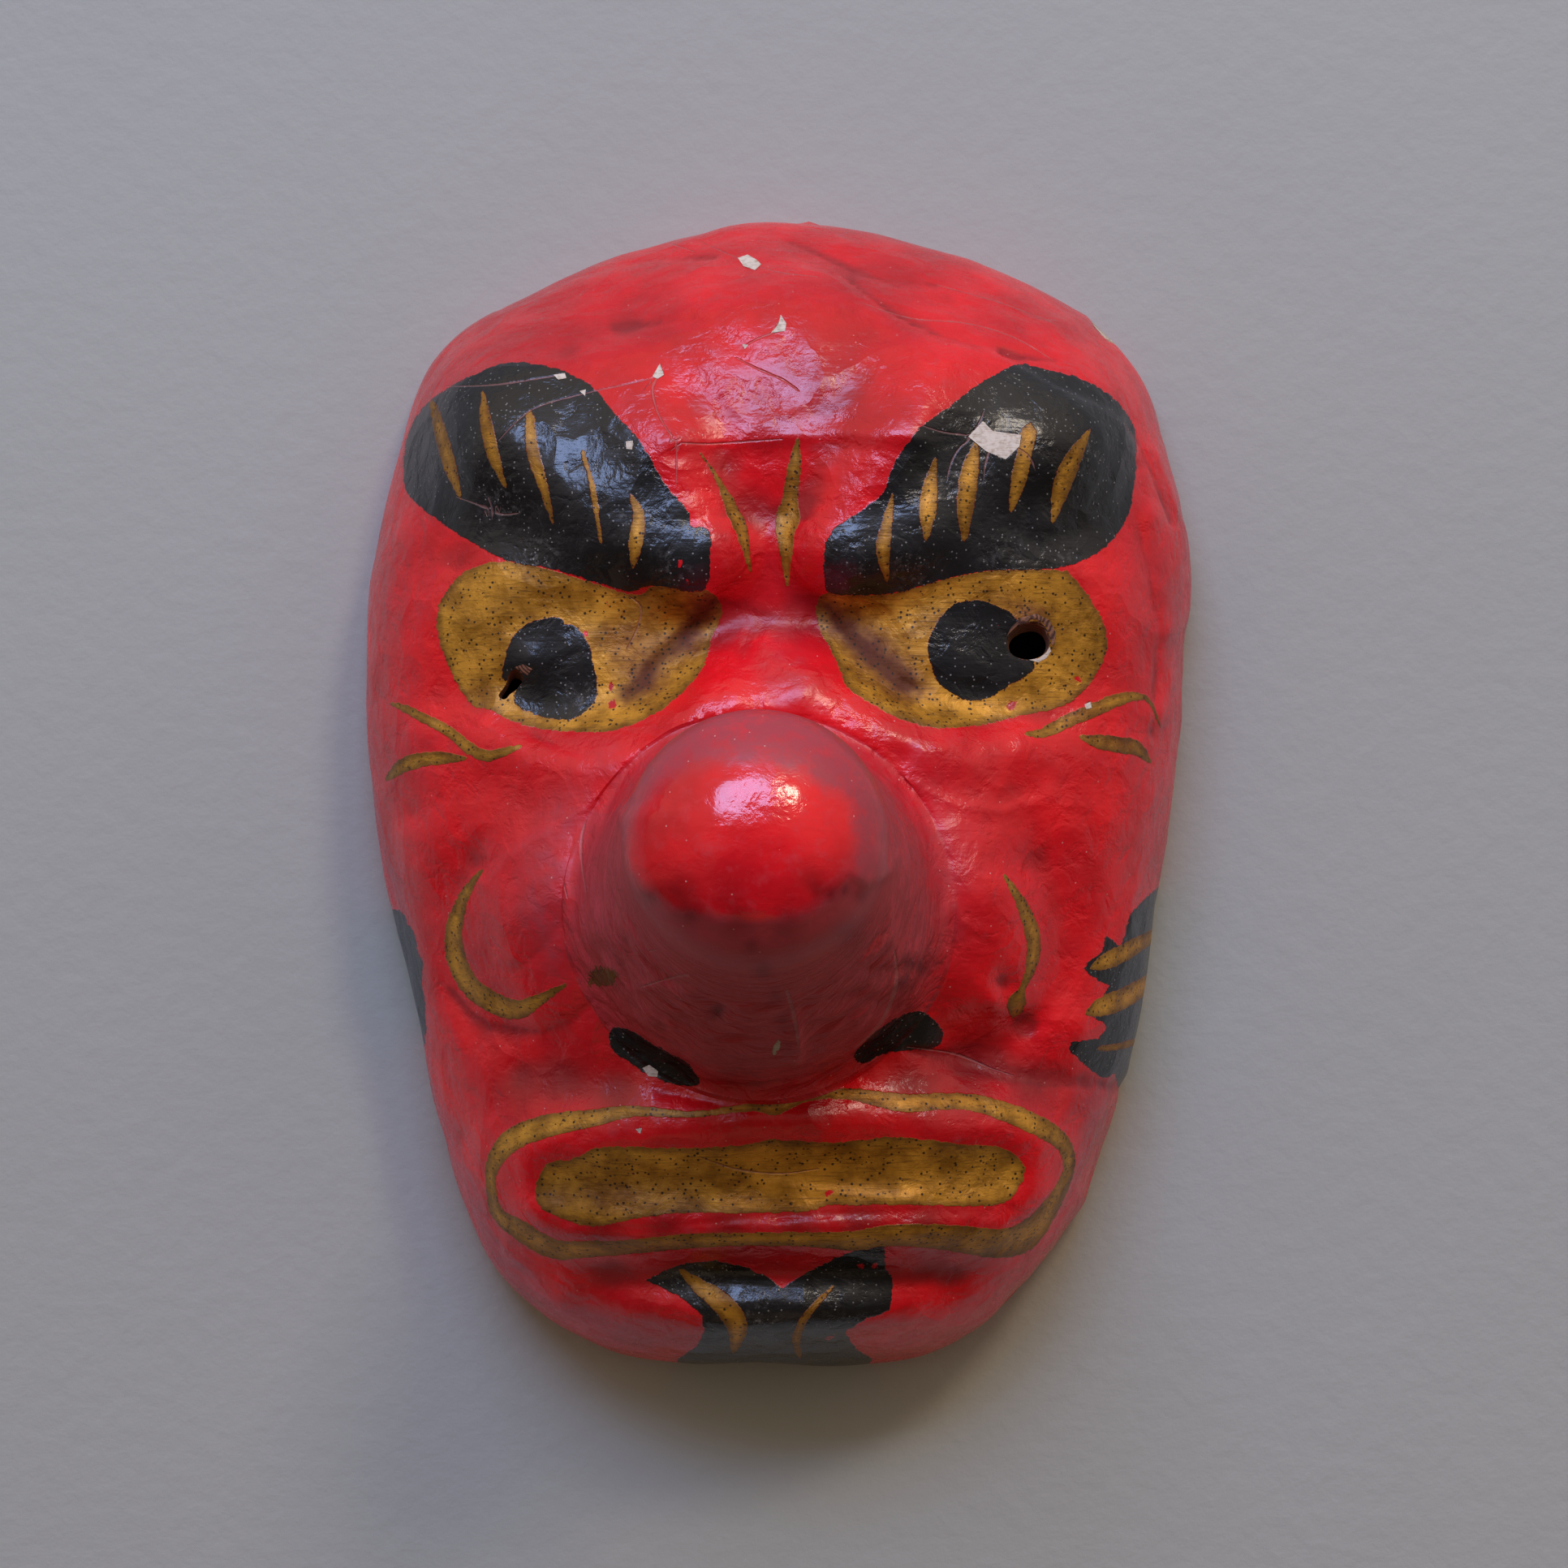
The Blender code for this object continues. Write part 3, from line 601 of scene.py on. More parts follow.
# Brush strokes of gold: the middle line, and the width at each point, in pixels
GOLD_STROKES = (
    ((533, 496, 8), (543, 535, 15), (555, 577, 15), (568, 615, 3)),
    ((595, 482, 3), (598, 515, 14), (607, 558, 15), (623, 601, 3)),
    ((653, 510, 10), (656, 556, 15), (668, 595, 12), (682, 647, 2)),
    ((718, 557, 4), (730, 600, 6), (736, 640, 6), (741, 670, 2)),
    ((777, 610, 3), (787, 636, 14), (783, 671, 17), (780, 700, 3)),
    ((1100, 608, 3), (1092, 650, 14), (1088, 680, 17), (1093, 716, 4)),
    ((1152, 566, 4), (1146, 600, 18), (1143, 630, 21), (1141, 664, 5)),
    ((1203, 545, 5), (1196, 575, 20), (1190, 620, 22), (1188, 665, 6)),
    ((1268, 530, 20), (1262, 560, 19), (1254, 595, 18), (1246, 630, 4)),
    ((1344, 528, 3), (1322, 565, 20), (1308, 600, 22), (1297, 643, 4)),
    ((863, 558, 2), (884, 590, 6), (903, 630, 16), (914, 655, 15), (925, 706, 2)),
    ((983, 540, 4), (979, 575, 16), (973, 618, 20), (971, 637, 30), (968, 660, 22), (970, 722, 3)),
    (
        (481, 867, 2), (497, 872, 9), (526, 887, 12), (553, 901, 13), (577, 921, 14), (602, 931, 14),
        (640, 920, 6),
    ),
    ((476, 961, 5), (497, 943, 18), (525, 935, 17), (550, 934, 14), (574, 934, 4)),
    (
        (1265, 904, 5), (1285, 903, 12), (1312, 890, 16), (1345, 876, 17), (1378, 862, 16), (1400, 858, 10),
        (1416, 864, 5), (1430, 896, 2),
    ),
    ((1332, 908, 6), (1356, 914, 18), (1380, 918, 20), (1400, 922, 18), (1418, 940, 3)),
    (
        (593, 1073, 4), (574, 1100, 12), (560, 1140, 20), (562, 1180, 24), (578, 1213, 24), (605, 1234, 26),
        (637, 1244, 24), (660, 1234, 16), (697, 1213, 5),
    ),
    (
        (1237, 1078, 3), (1257, 1110, 13), (1272, 1149, 18), (1272, 1185, 15), (1260, 1218, 8),
        (1254, 1232, 22), (1250, 1245, 20),
    ),
    ((839, 1566, 6), (862, 1585, 18), (890, 1606, 26), (908, 1634, 26), (904, 1664, 8)),
    ((1027, 1585, 3), (1006, 1606, 7), (988, 1630, 9), (981, 1652, 10), (986, 1672, 5)),
    ((1347, 1192, 8), (1364, 1184, 20), (1388, 1172, 20), (1425, 1150, 14)),
    ((1341, 1248, 10), (1360, 1240, 24), (1388, 1228, 24), (1425, 1204, 16)),
    ((1355, 1292, 6), (1375, 1290, 8), (1405, 1282, 8)),
)
MOUTH_RING = (
    (605, 1459, 12), (609, 1431, 20), (633, 1403, 28), (675, 1387, 28), (728, 1378, 22), (781, 1369, 14),
    (851, 1373, 8), (928, 1364, 10), (956, 1367, 14), (995, 1352, 10), (1048, 1348, 14), (1111, 1359, 22),
    (1188, 1357, 20), (1241, 1371, 24), (1293, 1395, 24), (1314, 1417, 18), (1316, 1445, 14),
    (1297, 1483, 20), (1265, 1522, 34), (1227, 1532, 36), (1170, 1525, 32), (1100, 1522, 26),
    (1048, 1529, 24), (995, 1527, 18), (921, 1527, 16), (851, 1529, 18), (781, 1536, 18),
    (728, 1539, 20), (682, 1539, 24), (640, 1515, 24), (612, 1494, 16),
)

# Cracks of the paint: the middle line, and the width at each point, in pixels
CRACKS = (
    ((548, 476, 1), (612, 474, 2), (690, 462, 2)),
    ((612, 545, 1), (655, 505, 2), (720, 485, 2), (770, 474, 2), (805, 466, 1)),
    ((812, 462, 2), (804, 478, 3), (809, 505, 2), (822, 530, 2), (833, 548, 2), (833, 600, 1)),
    ((825, 545, 2), (870, 547, 2), (905, 545, 2), (965, 541, 1)),
    ((915, 428, 2), (932, 418, 2), (958, 408, 2), (968, 402, 1)),
    ((691, 337, 0.6), (725, 328, 1), (758, 326, 0.6)),
    ((765, 280, 0.6), (792, 279, 1), (820, 297, 1), (855, 310, 0.6)),
    ((862, 297, 0.6), (912, 319, 1), (955, 334, 1), (1010, 341, 0.6)),
    ((1060, 372, 0.6), (1120, 392, 1), (1190, 398, 1), (1250, 416, 1), (1300, 446, 0.6)),
    ((1150, 350, 0.6), (1230, 372, 1), (1310, 402, 0.6)),
    ((1440, 560, 0.6), (1452, 620, 1), (1448, 690, 0.6)),
    ((905, 440, 1), (935, 455, 2), (965, 468, 2), (985, 482, 1)),
    ((562, 612, 1), (590, 622, 2), (608, 630, 3), (622, 634, 2), (640, 632, 1)),
    ((600, 610, 1), (607, 628, 2), (606, 640, 1)),
    ((1130, 522, 1), (1160, 532, 2), (1195, 538, 2), (1182, 552, 2), (1172, 570, 2), (1166, 595, 1)),
    ((1220, 552, 3), (1214, 572, 2), (1212, 592, 1)),
    ((1195, 538, 2), (1206, 522, 2), (1213, 505, 1)),
    ((1250, 550, 2), (1268, 562, 2), (1276, 580, 1)),
    ((1118, 1290, 1), (1165, 1296, 2), (1190, 1303, 3), (1220, 1316, 2), (1250, 1326, 1)),
    ((775, 735, 1), (790, 748, 2), (785, 775, 2), (772, 800, 1)),
    ((860, 1425, 1), (905, 1440, 2), (960, 1446, 2), (1010, 1440, 1)),
)

# How the paper lies: ridges, laps and creases. Each has its rise and how far it reaches before and
# behind its line, in millimetres, and the line's points
FACE_FOLDS = (
    (-0.7, 1.6, 1.6, ((870, 300), (960, 290), (1070, 335), (1150, 350))),
    (-0.9, 2.5, 0.9, ((1050, 345), (1130, 400), (1210, 425), (1300, 440))),
    (0.7, 1.2, 3.0, ((1190, 365), (1260, 400), (1330, 395))),
    (-0.7, 2.0, 1.0, ((620, 380), (700, 345), (800, 320), (880, 315))),
    (-0.6, 1.0, 2.2, ((760, 400), (860, 395), (915, 425))),
    (-1.0, 2.6, 1.0, ((1240, 430), (1300, 470), (1390, 520), (1440, 640))),
    (0.9, 2.4, 1.2, ((1420, 560), (1450, 640), (1460, 760))),
    (-0.8, 0.9, 2.2, ((1404, 640), (1424, 720), (1430, 800), (1422, 900))),
    (0.45, 0.5, 0.6, ((1136, 415), (1127, 440), (1130, 468), (1150, 480), (1168, 468), (1166, 448))),
    (0.95, 5.5, 0.7, ((830, 549), (900, 546), (960, 543), (1040, 540), (1130, 545))),
    (-0.5, 1.4, 2.0, ((850, 640), (940, 632), (1040, 645))),
    (-0.5, 2.6, 3.0, ((888, 742), (940, 764), (985, 772), (1012, 752))),
    (0.9, 3.2, 3.6, ((940, 800), (985, 826), (1050, 858), (1110, 884), (1180, 906))),
    (0.5, 2.4, 3.2, ((1000, 845), (1090, 900), (1180, 935), (1225, 970))),
    (0.7, 2.0, 2.6, ((870, 870), (780, 950), (700, 1010), (640, 1050), (600, 1090))),
    (-1.0, 1.2, 2.0, ((820, 1345), (880, 1358), (940, 1366), (1000, 1352), (1060, 1325))),
    (-1.1, 1.0, 2.2, ((1125, 1296), (1180, 1302), (1230, 1320), (1300, 1330), (1378, 1336))),
    (0.35, 2.0, 2.8, ((640, 1510), (760, 1522), (900, 1512), (1060, 1506), (1230, 1512))),
    (-0.6, 1.0, 2.0, ((700, 1504), (800, 1514), (930, 1500), (1100, 1494), (1240, 1490))),
    (0.5, 1.2, 1.6, ((790, 1425), (860, 1445), (940, 1455), (1030, 1470), (1120, 1478))),
    (-0.7, 1.2, 2.0, ((560, 1225), (600, 1262), (680, 1268), (740, 1230))),
    (0.35, 2.6, 3.0, ((990, 1610), (940, 1600), (880, 1604))),
    (-0.6, 1.6, 2.4, ((640, 1190), (690, 1140), (725, 1060))),
    (-0.6, 1.6, 1.6, ((660, 905), (740, 935), (800, 905))),
    (0.8, 0.8, 2.6, ((868, 738), (842, 770), (806, 806), (782, 842))),
    (0.7, 2.4, 0.8, ((1030, 752), (1056, 790), (1090, 814), (1126, 838))),
    (0.5, 1.0, 1.6, ((1150, 1090), (1180, 1130), (1215, 1150))),
    (0.5, 1.4, 1.0, ((1120, 960), (1170, 990), (1230, 1000), (1290, 980))),
)
# Dents and bumps: the rise in millimetres, the reach in pixels and the middle
FACE_DENTS = (
    (-1.6, 18, (1265, 1262)), (-1.0, 14, (1238, 1212)), (0.8, 12, (1222, 1232)), (-0.7, 20, (1110, 935)),
    (0.9, 15, (1268, 764)), (-1.2, 16, (1262, 792)), (-1.0, 16, (628, 843)), (0.8, 16, (655, 812)),
    (-0.6, 24, (700, 430)), (0.6, 22, (1290, 640)), (-0.7, 30, (560, 690)), (0.7, 26, (520, 900)),
    (-0.7, 24, (500, 1000)), (0.7, 26, (1400, 980)), (0.8, 14, (1438, 780)),
    (0.8, 14, (1426, 880)), (0.8, 16, (1416, 640)), (-0.6, 14, (1400, 570)), (-0.6, 20, (640, 1320)),
    (0.6, 22, (700, 1590)),
    (-0.6, 24, (1240, 1590)), (0.5, 18, (1330, 1480)), (-0.5, 20, (560, 1400)), (0.5, 30, (860, 350)),
)
NOSE_FOLDS = (
    (1.7, 0.9, 4.2, ((935, 1150), (962, 1200), (980, 1250), (984, 1296))),
    (-0.9, 1.0, 2.0, ((1040, 1188), (1090, 1196), (1150, 1186))),
    (0.8, 1.0, 2.4, ((800, 1170), (860, 1162), (930, 1150))),
    (0.7, 0.9, 2.2, ((790, 1215), (850, 1200), (905, 1215))),
    (-0.7, 1.0, 2.0, ((985, 1235), (1040, 1225), (1100, 1240))),
    (0.6, 0.8, 2.0, ((830, 1290), (880, 1300), (930, 1290))),
    (0.7, 1.2, 1.2, ((712, 1010), (700, 1060), (704, 1120), (722, 1170))),
    (0.6, 1.0, 1.4, ((738, 1020), (728, 1080), (740, 1150))),
    (-1.0, 1.2, 2.0, ((820, 1345), (880, 1358), (940, 1366), (1000, 1352), (1060, 1325))),
)
# The ragged lip of the last sheet on the knob, given like the folds
KNOB_LIP = (
    0.8, 5.0, 0.7,
    (
        (770, 1012), (776, 1060), (790, 1092), (812, 1104), (832, 1122), (868, 1124), (900, 1134),
        (940, 1130), (972, 1136), (1004, 1122), (1030, 1104), (1036, 1086), (1050, 1078), (1066, 1088),
        (1088, 1078),
    ),
)
NOSE_DENTS = (
    (-2.2, 11, (884, 1246)), (0.6, 20, (884, 1246)), (0.6, 14, (1075, 1125)), (-0.5, 18, (1010, 1270)),
    (-0.4, 30, (830, 1300)), (0.4, 26, (760, 1150)), (-0.5, 26, (1110, 1130)), (0.5, 22, (1120, 1200)),
)

# Soft round spots, each with its strength, its reach in pixels and its middle: dust on the black
DUSTY = (
    (1.0, 20, (722, 862)), (0.8, 26, (660, 690)), (0.3, 30, (1240, 680)), (0.4, 20, (1310, 690)),
    (0.7, 26, (1190, 590)), (0.8, 20, (1120, 700)), (0.6, 26, (1040, 700)), (0.6, 26, (620, 620)),
    (0.9, 22, (935, 1635)), (0.8, 26, (850, 1570)), (0.5, 20, (780, 1280)), (0.7, 24, (780, 640)),
    (0.6, 22, (1340, 560)), (0.5, 26, (560, 560)), (0.6, 16, (1375, 1300)), (0.5, 22, (830, 700)),
    (0.5, 26, (930, 650)),
)
# Gold that lies thin over the red
THIN_GOLD = (
    (0.7, 40, (1340, 880)), (0.7, 30, (1385, 918)), (0.5, 40, (1070, 1352)), (0.4, 40, (1160, 1358)),
    (1.0, 26, (865, 745)), (0.9, 26, (850, 790)), (0.8, 30, (800, 838)), (0.9, 26, (1035, 765)),
    (1.0, 30, (1070, 800)), (0.8, 30, (1110, 840)), (0.8, 22, (1262, 760)), (0.5, 30, (770, 790)),
    (0.5, 26, (905, 1480)), (0.4, 26, (760, 1480)), (0.4, 26, (590, 850)),
)
# Dirt and painted shade in the grooves at the eyes' inner corners and on the mouth, in soft bands along lines
STAINS_AND_SHADE = (
    (1.0, 13, ((880, 744), (858, 768), (834, 794), (808, 816), (786, 846), (772, 858))),
    (0.45, 26, ((800, 752), (790, 790), (774, 815))),
    (1.0, 13, ((1018, 748), (1040, 776), (1062, 802), (1088, 822), (1112, 840))),
    (0.6, 18, ((1060, 770), (1088, 800), (1130, 850))),
    (0.55, 14, ((1232, 738), (1262, 750), (1284, 756))),
    (0.5, 30, ((680, 1476), (760, 1476), (840, 1472))),
)
# Seams of the sheets on the underside of the nose, given like the cracks; their pale line is a painted
# highlight
NOSE_CRACKS = (
    ((935, 1148, 2), (950, 1180, 5), (966, 1212, 4), (978, 1250, 5), (984, 1290, 3)),
    ((1102, 1170, 2), (1104, 1215, 5), (1084, 1262, 4), (1052, 1292, 2)),
    ((800, 1172, 1), (860, 1163, 3), (925, 1150, 1)),
    ((790, 1216, 1), (850, 1201, 3), (900, 1214, 1)),
    ((700, 1010, 1), (690, 1060, 3), (700, 1110, 1)), ((730, 980, 1), (716, 1040, 3), (722, 1100, 1)),
)
# Enamel rubbed matt and pink, which also paints the pale sheen on the nose's flanks, the bridge, the cheek
# ridges and the side walls
RUBBED_AND_SHEEN = (
    (0.6, 34, (700, 1000)), (0.65, 38, (672, 1060)), (0.65, 38, (668, 1125)), (0.5, 34, (690, 1180)),
    (0.45, 34, (1165, 1080)), (0.5, 30, (1160, 1150)), (0.3, 34, (740, 950)), (0.4, 30, (760, 1235)),
    (0.35, 40, (960, 830)), (0.3, 40, (1130, 960)), (0.25, 40, (1180, 1020)),
    (0.35, 30, (1360, 560)), (0.3, 30, (1420, 700)), (0.3, 26, (560, 480)), (0.3, 30, (520, 930)),
)
# Painted shade: enamel darkened above and between the lips, and faintly on the forehead
PAINTED_SHADE = (
    (0.6, 34, (640, 1340)), (0.6, 34, (700, 1330)), (0.6, 34, (760, 1350)), (0.6, 34, (1130, 1340)),
    (0.7, 34, (1200, 1325)), (0.6, 34, (1270, 1345)), (0.65, 30, (820, 1510)), (0.65, 30, (900, 1510)),
    (0.65, 30, (980, 1508)), (0.65, 30, (1060, 1506)), (0.65, 30, (1140, 1510)), (0.65, 30, (740, 1512)),
    (0.4, 30, (1340, 1350)), (0.4, 34, (900, 1370)), (0.4, 34, (1010, 1370)), (0.22, 110, (640, 400)),
    (0.16, 90, (780, 360)),
    (0.18, 110, (1080, 330)), (0.3, 60, (940, 490)), (0.3, 60, (1060, 490)), (0.25, 60, (1000, 440)),
)
# Painted shadows in the folds and dents of the nose's underside
NOSE_PAINTED_SHADE = (
    (0.9, 8, (885, 1245)), (0.7, 9, (1004, 1096)), (0.8, 9, (1022, 1100)), (0.8, 9, (1040, 1096)),
    (0.6, 8, (1060, 1104)), (0.8, 9, (1120, 1184)), (0.8, 9, (1136, 1194)), (0.6, 12, (1114, 1212)),
    (0.4, 20, (1046, 1150)), (0.3, 26, (830, 1090)), (0.3, 26, (900, 1105)), (0.25, 40, (900, 1330)),
    (0.35, 22, (840, 1100)), (0.3, 16, (1000, 1080)), (0.55, 9, (926, 1166)), (0.55, 10, (940, 1196)),
    (0.5, 20, (802, 1102)), (0.5, 18, (852, 1124)), (0.5, 18, (910, 1134)), (0.5, 18, (970, 1130)),
    (0.45, 10, (956, 1226)), (0.45, 10, (966, 1258)), (0.4, 10, (970, 1288)), (0.3, 14, (1116, 1240)),
)
# Flecks of red that show through the gold and the black
RED_FLECKS = (
    (1.0, 4, (749, 744)), (1.0, 4, (722, 781)), (1.0, 5, (755, 868)), (1.0, 4, (752, 845)),
    (1.0, 5, (1329, 837)), (1.0, 6, (1246, 869)), (1.0, 4, (1022, 1470)), (1.0, 4, (1060, 1560)),
    (1.0, 4, (1080, 1560)), (1.0, 4, (1024, 1648)), (1.0, 3, (838, 695)), (1.0, 3, (846, 712)),
)
# Tabs and tears of the rim: the pull outwards in millimetres, the reach in pixels and the middle
RIM_TABS = (
    (1.3, 13, (998, 276)), (-1.5, 24, (1375, 412)), (0.9, 14, (1463, 752)), (-0.7, 16, (1462, 785)),
    (0.9, 18, (1460, 825)), (0.7, 20, (1340, 372)), (-0.5, 24, (1240, 320)), (0.5, 20, (690, 345)),
    (-0.5, 22, (560, 440)), (0.5, 18, (452, 760)), (-0.4, 26, (470, 1050)), (0.5, 22, (540, 1380)),
    (0.4, 22, (1300, 1560)), (-0.5, 26, (1415, 1200)),
)
# The ragged outlines of the sight holes
LEFT_HOLE = (
    (613, 854), (617, 860), (623, 860), (628, 854), (637, 848), (645, 838), (644, 831), (636, 825),
    (628, 829), (622, 841),
)
RIGHT_HOLE = (
    (1240, 790), (1247, 778), (1262, 768), (1278, 766), (1291, 774), (1296, 788), (1291, 801), (1278, 810),
    (1260, 812), (1245, 805),
)


# On the nose, in pixels: ellipses for the gold smudge, the bright end and a peeled flake, each with its
# middle and its reach; and the sides of the first coat, each with how far in it is complete. The first
# coat's colour is also painted purple-grey sheen and shade on the underside, and outside the bright end
# the knob carries painted sheen
SMUDGE = (742, 1203, 24, 15)
BRIGHT_END = (908, 1038, 140, 98)
PEELED = (957, 1291, 5, 9)
COAT_TOP = 1000
COAT_LEFT, COAT_RIGHT, COAT_BOTTOM = (690, 40), (1150, -60), (1345, -60)


def ramp(values, start, reach):
    """0 before start, 1 from a reach further on. A negative reach runs the other way."""
    return np.clip((values - start) / reach, 0, 1)


def ellipse(across, down, shape):
    """How far out from the middle of an ellipse each place is, with 1 on its edge."""
    x, y, wide, high = shape
    return np.hypot((across - x) / wide, (down - y) / high)


def on_photo(points):
    """Where points of the mask lie in the photograph, in its pixels, and the metres that a pixel covers."""
    gap = CAMERA_AT[2] - points[..., 2]
    across = PHOTO_SIZE / 2 + FOCAL_PIXELS * (points[..., 0] - CAMERA_AT[0]) / gap
    down = PHOTO_SIZE / 2 - FOCAL_PIXELS * (points[..., 1] - CAMERA_AT[1]) / gap
    return across, down, gap / FOCAL_PIXELS


def from_photo(across, down, height):
    """The place of a pixel of the photograph at a height over the rim plane."""
    pixel = (CAMERA_AT[2] - height) / FOCAL_PIXELS
    x = CAMERA_AT[0] + (across - PHOTO_SIZE / 2) * pixel
    return Vector((x, CAMERA_AT[1] - (down - PHOTO_SIZE / 2) * pixel, height))


def beside(line, across, down):
    """For each place: its signed distance from a line, how far past its ends, and its place along it."""
    best = np.full(np.shape(across), np.inf)
    side, past, along = np.zeros_like(best), np.zeros_like(best), np.zeros_like(best)
    last = len(line) - 2
    for k, ((ax, ay), (bx, by)) in enumerate(zip(line[:-1, :2], line[1:, :2])):
        dx, dy = bx - ax, by - ay
        run = math.hypot(dx, dy)
        t = ((across - ax) * dx + (down - ay) * dy) / run**2
        held = np.clip(t, 0, 1)
        away = np.hypot(across - ax - held * dx, down - ay - held * dy)
        lateral = (dx * (down - ay) - dy * (across - ax)) / run
        over = np.where(k == 0, np.maximum(-t, 0), 0) + np.where(k == last, np.maximum(t - 1, 0), 0)
        beyond = over * run
        lateral = np.where(beyond > 0, lateral, np.copysign(away, lateral))
        closer = away < best
        best = np.where(closer, away, best)
        side = np.where(closer, lateral, side)
        past = np.where(closer, beyond, past)
        along = np.where(closer, k + held, along)
    return side, past, along


def shape_edge(shape, across, down):
    """For each place: how far it is from a closed outline, negative inside it."""
    ends = np.roll(shape, -1, axis=0)
    best = np.full(np.shape(across), np.inf)
    inside = np.zeros(np.shape(across), bool)
    for (ax, ay), (bx, by) in zip(shape, ends):
        dx, dy = bx - ax, by - ay
        t = np.clip(((across - ax) * dx + (down - ay) * dy) / (dx * dx + dy * dy), 0, 1)
        best = np.minimum(best, np.hypot(across - ax - t * dx, down - ay - t * dy))
        if ay != by:
            crosses = ((ay > down) != (by > down)) & (across < ax + (down - ay) * dx / dy)
            inside ^= crosses
    return np.where(inside, -best, best)


def shapes_field(shapes, across, down, pixel, steps):
    """Distance to the nearest edge of several shapes, in millimetres, negative inside."""
    field = np.full(np.shape(across), FAR)
    for shape in shapes:
        shape = smooth_line(shape, steps, True) if steps > 1 else np.array(shape, float)
        low, high = shape.min(axis=0) - 40, shape.max(axis=0) + 40
        near = (across > low[0]) & (across < high[0]) & (down > low[1]) & (down < high[1])
        edge = shape_edge(shape, across[near], down[near]) * pixel[near] / MM
        field[near] = np.minimum(field[near], edge)
    return field


def strokes_field(strokes, across, down, pixel):
    """Signed distance from the nearest stroke's middle line and its half width, both in millimetres."""
    side, half = np.full(np.shape(across), FAR), np.full(np.shape(across), -FAR)
    for number, (stroke, closed) in enumerate(strokes):
        # Every second stroke is turned round, so that the distance keeps its sign between neighbours
        line = smooth_line(stroke[:: 1 - number % 2 * 2], 5, closed)
        if closed:
            line = np.vstack((line, line[:1]))
        low, high = line.min(axis=0)[:2] - 30, line.max(axis=0)[:2] + 30
        near = (across > low[0]) & (across < high[0]) & (down > low[1]) & (down < high[1])
        lateral, past, along = beside(line, across[near], down[near])
        if closed:
            past = past * 0
        width = np.interp(along, np.arange(len(line)), line[:, 2]) / 2 - past
        lateral, width = lateral * pixel[near] / MM, width * pixel[near] / MM
        width = np.where(np.abs(lateral) - width > STROKE_REACH, -FAR, width)
        nearer = width - np.abs(lateral) > half[near] - np.abs(side[near])
        side[near] = np.where(nearer, lateral, side[near])
        half[near] = np.where(nearer, width, half[near])
    return side, half


def spots(places, across, down):
    """The sum of soft round spots, each with its strength, its reach in pixels and its place."""
    total = np.zeros(np.shape(across))
    for strength, reach, (x, y) in places:
        total = total + strength * np.exp(-((across - x) ** 2 + (down - y) ** 2) / reach**2)
    return total


def smears(lines, across, down):
    """The sum of soft bands along lines, each with its strength, its reach in pixels and its line."""
    total = np.zeros(np.shape(across))
    for strength, reach, line in lines:
        side, past, _ = beside(smooth_line(line, 3), across, down)
        total = total + strength * np.exp(-((side / reach) ** 2) - (past / reach) ** 2)
    return total


def folds(lines, across, down, pixel):
    """How far folds and laps of the paper raise the skin, in millimetres."""
    total = np.zeros(np.shape(across))
    for rise, before, behind, line in lines:
        line = smooth_line(line, 4)
        side, past, _ = beside(line, across, down)
        side, past = side * pixel / MM, past * pixel / MM
        reach = np.where(side < 0, before, behind)
        total = total + rise * np.exp(-np.abs(side) / reach - (past / 2.0) ** 2)
    return total


def rough(points, size, seed, basis="PERLIN_ORIGINAL"):
    """Smooth noise at each point, from -1 to 1. size is how far apart its bumps are."""
    flat = (points.reshape(-1, 3) / size + seed).tolist()
    found = [noise.noise(p, noise_basis=basis) for p in flat]
    return np.array(found).reshape(points.shape[:-1])


def unevenness(points, strength=1.0):
    """Paper pasted by hand: soft dents, faint ridges where sheets meet, and small wrinkles."""
    soft = rough(points, 26 * MM, 3.1) * 0.75 + rough(points, 13 * MM, 7.7) * 0.32
    ridged = (0.5 - np.abs(rough(points, 30 * MM, 11.3))) * 0.7
    small = (0.4 - np.abs(rough(points, 11 * MM, 19.9))) * 0.30 + rough(points, 5 * MM, 23.2) * 0.08
    return (soft + ridged + small) * strength


def rim_fade(rings):
    """0 at the rim, 1 from 5 mm above it, so that the rim still lies flat."""
    return ramp(rings[..., 2], 0, 5 * MM)


def under_nose(sizes, points):
    """From 0 to 1: how much a point belongs to the underside of the nose."""
    axis, start = nose_axis(sizes), nose_start(sizes)
    run = (points - start) @ axis
    out = points - start - run[..., None] * axis
    facing = -out[..., 1] / np.maximum(np.linalg.norm(out, axis=-1), 1e-9)
    knob_at = sizes.nose_length - sizes.knob_length
    return ramp(facing, -0.15, 0.6) * ramp(run, knob_at, -3 * MM)


def rim_wear(rings):
    """Tabs and tears pull the rim in and out, with the last few millimetres of the wall."""
    across, down, _ = on_photo(rings[-1])
    pull = spots(RIM_TABS, across, down) + rough(rings[-1], 9 * MM, 4.4) * 0.35
    near = np.exp(-((rings[..., 2] / (3.5 * MM)) ** 2))
    level = rings[-1, :, :2] / np.linalg.norm(rings[-1, :, :2], axis=1)[:, None]
    rings[..., :2] += level * (pull * MM)[:, None] * near[..., None]
    return rings


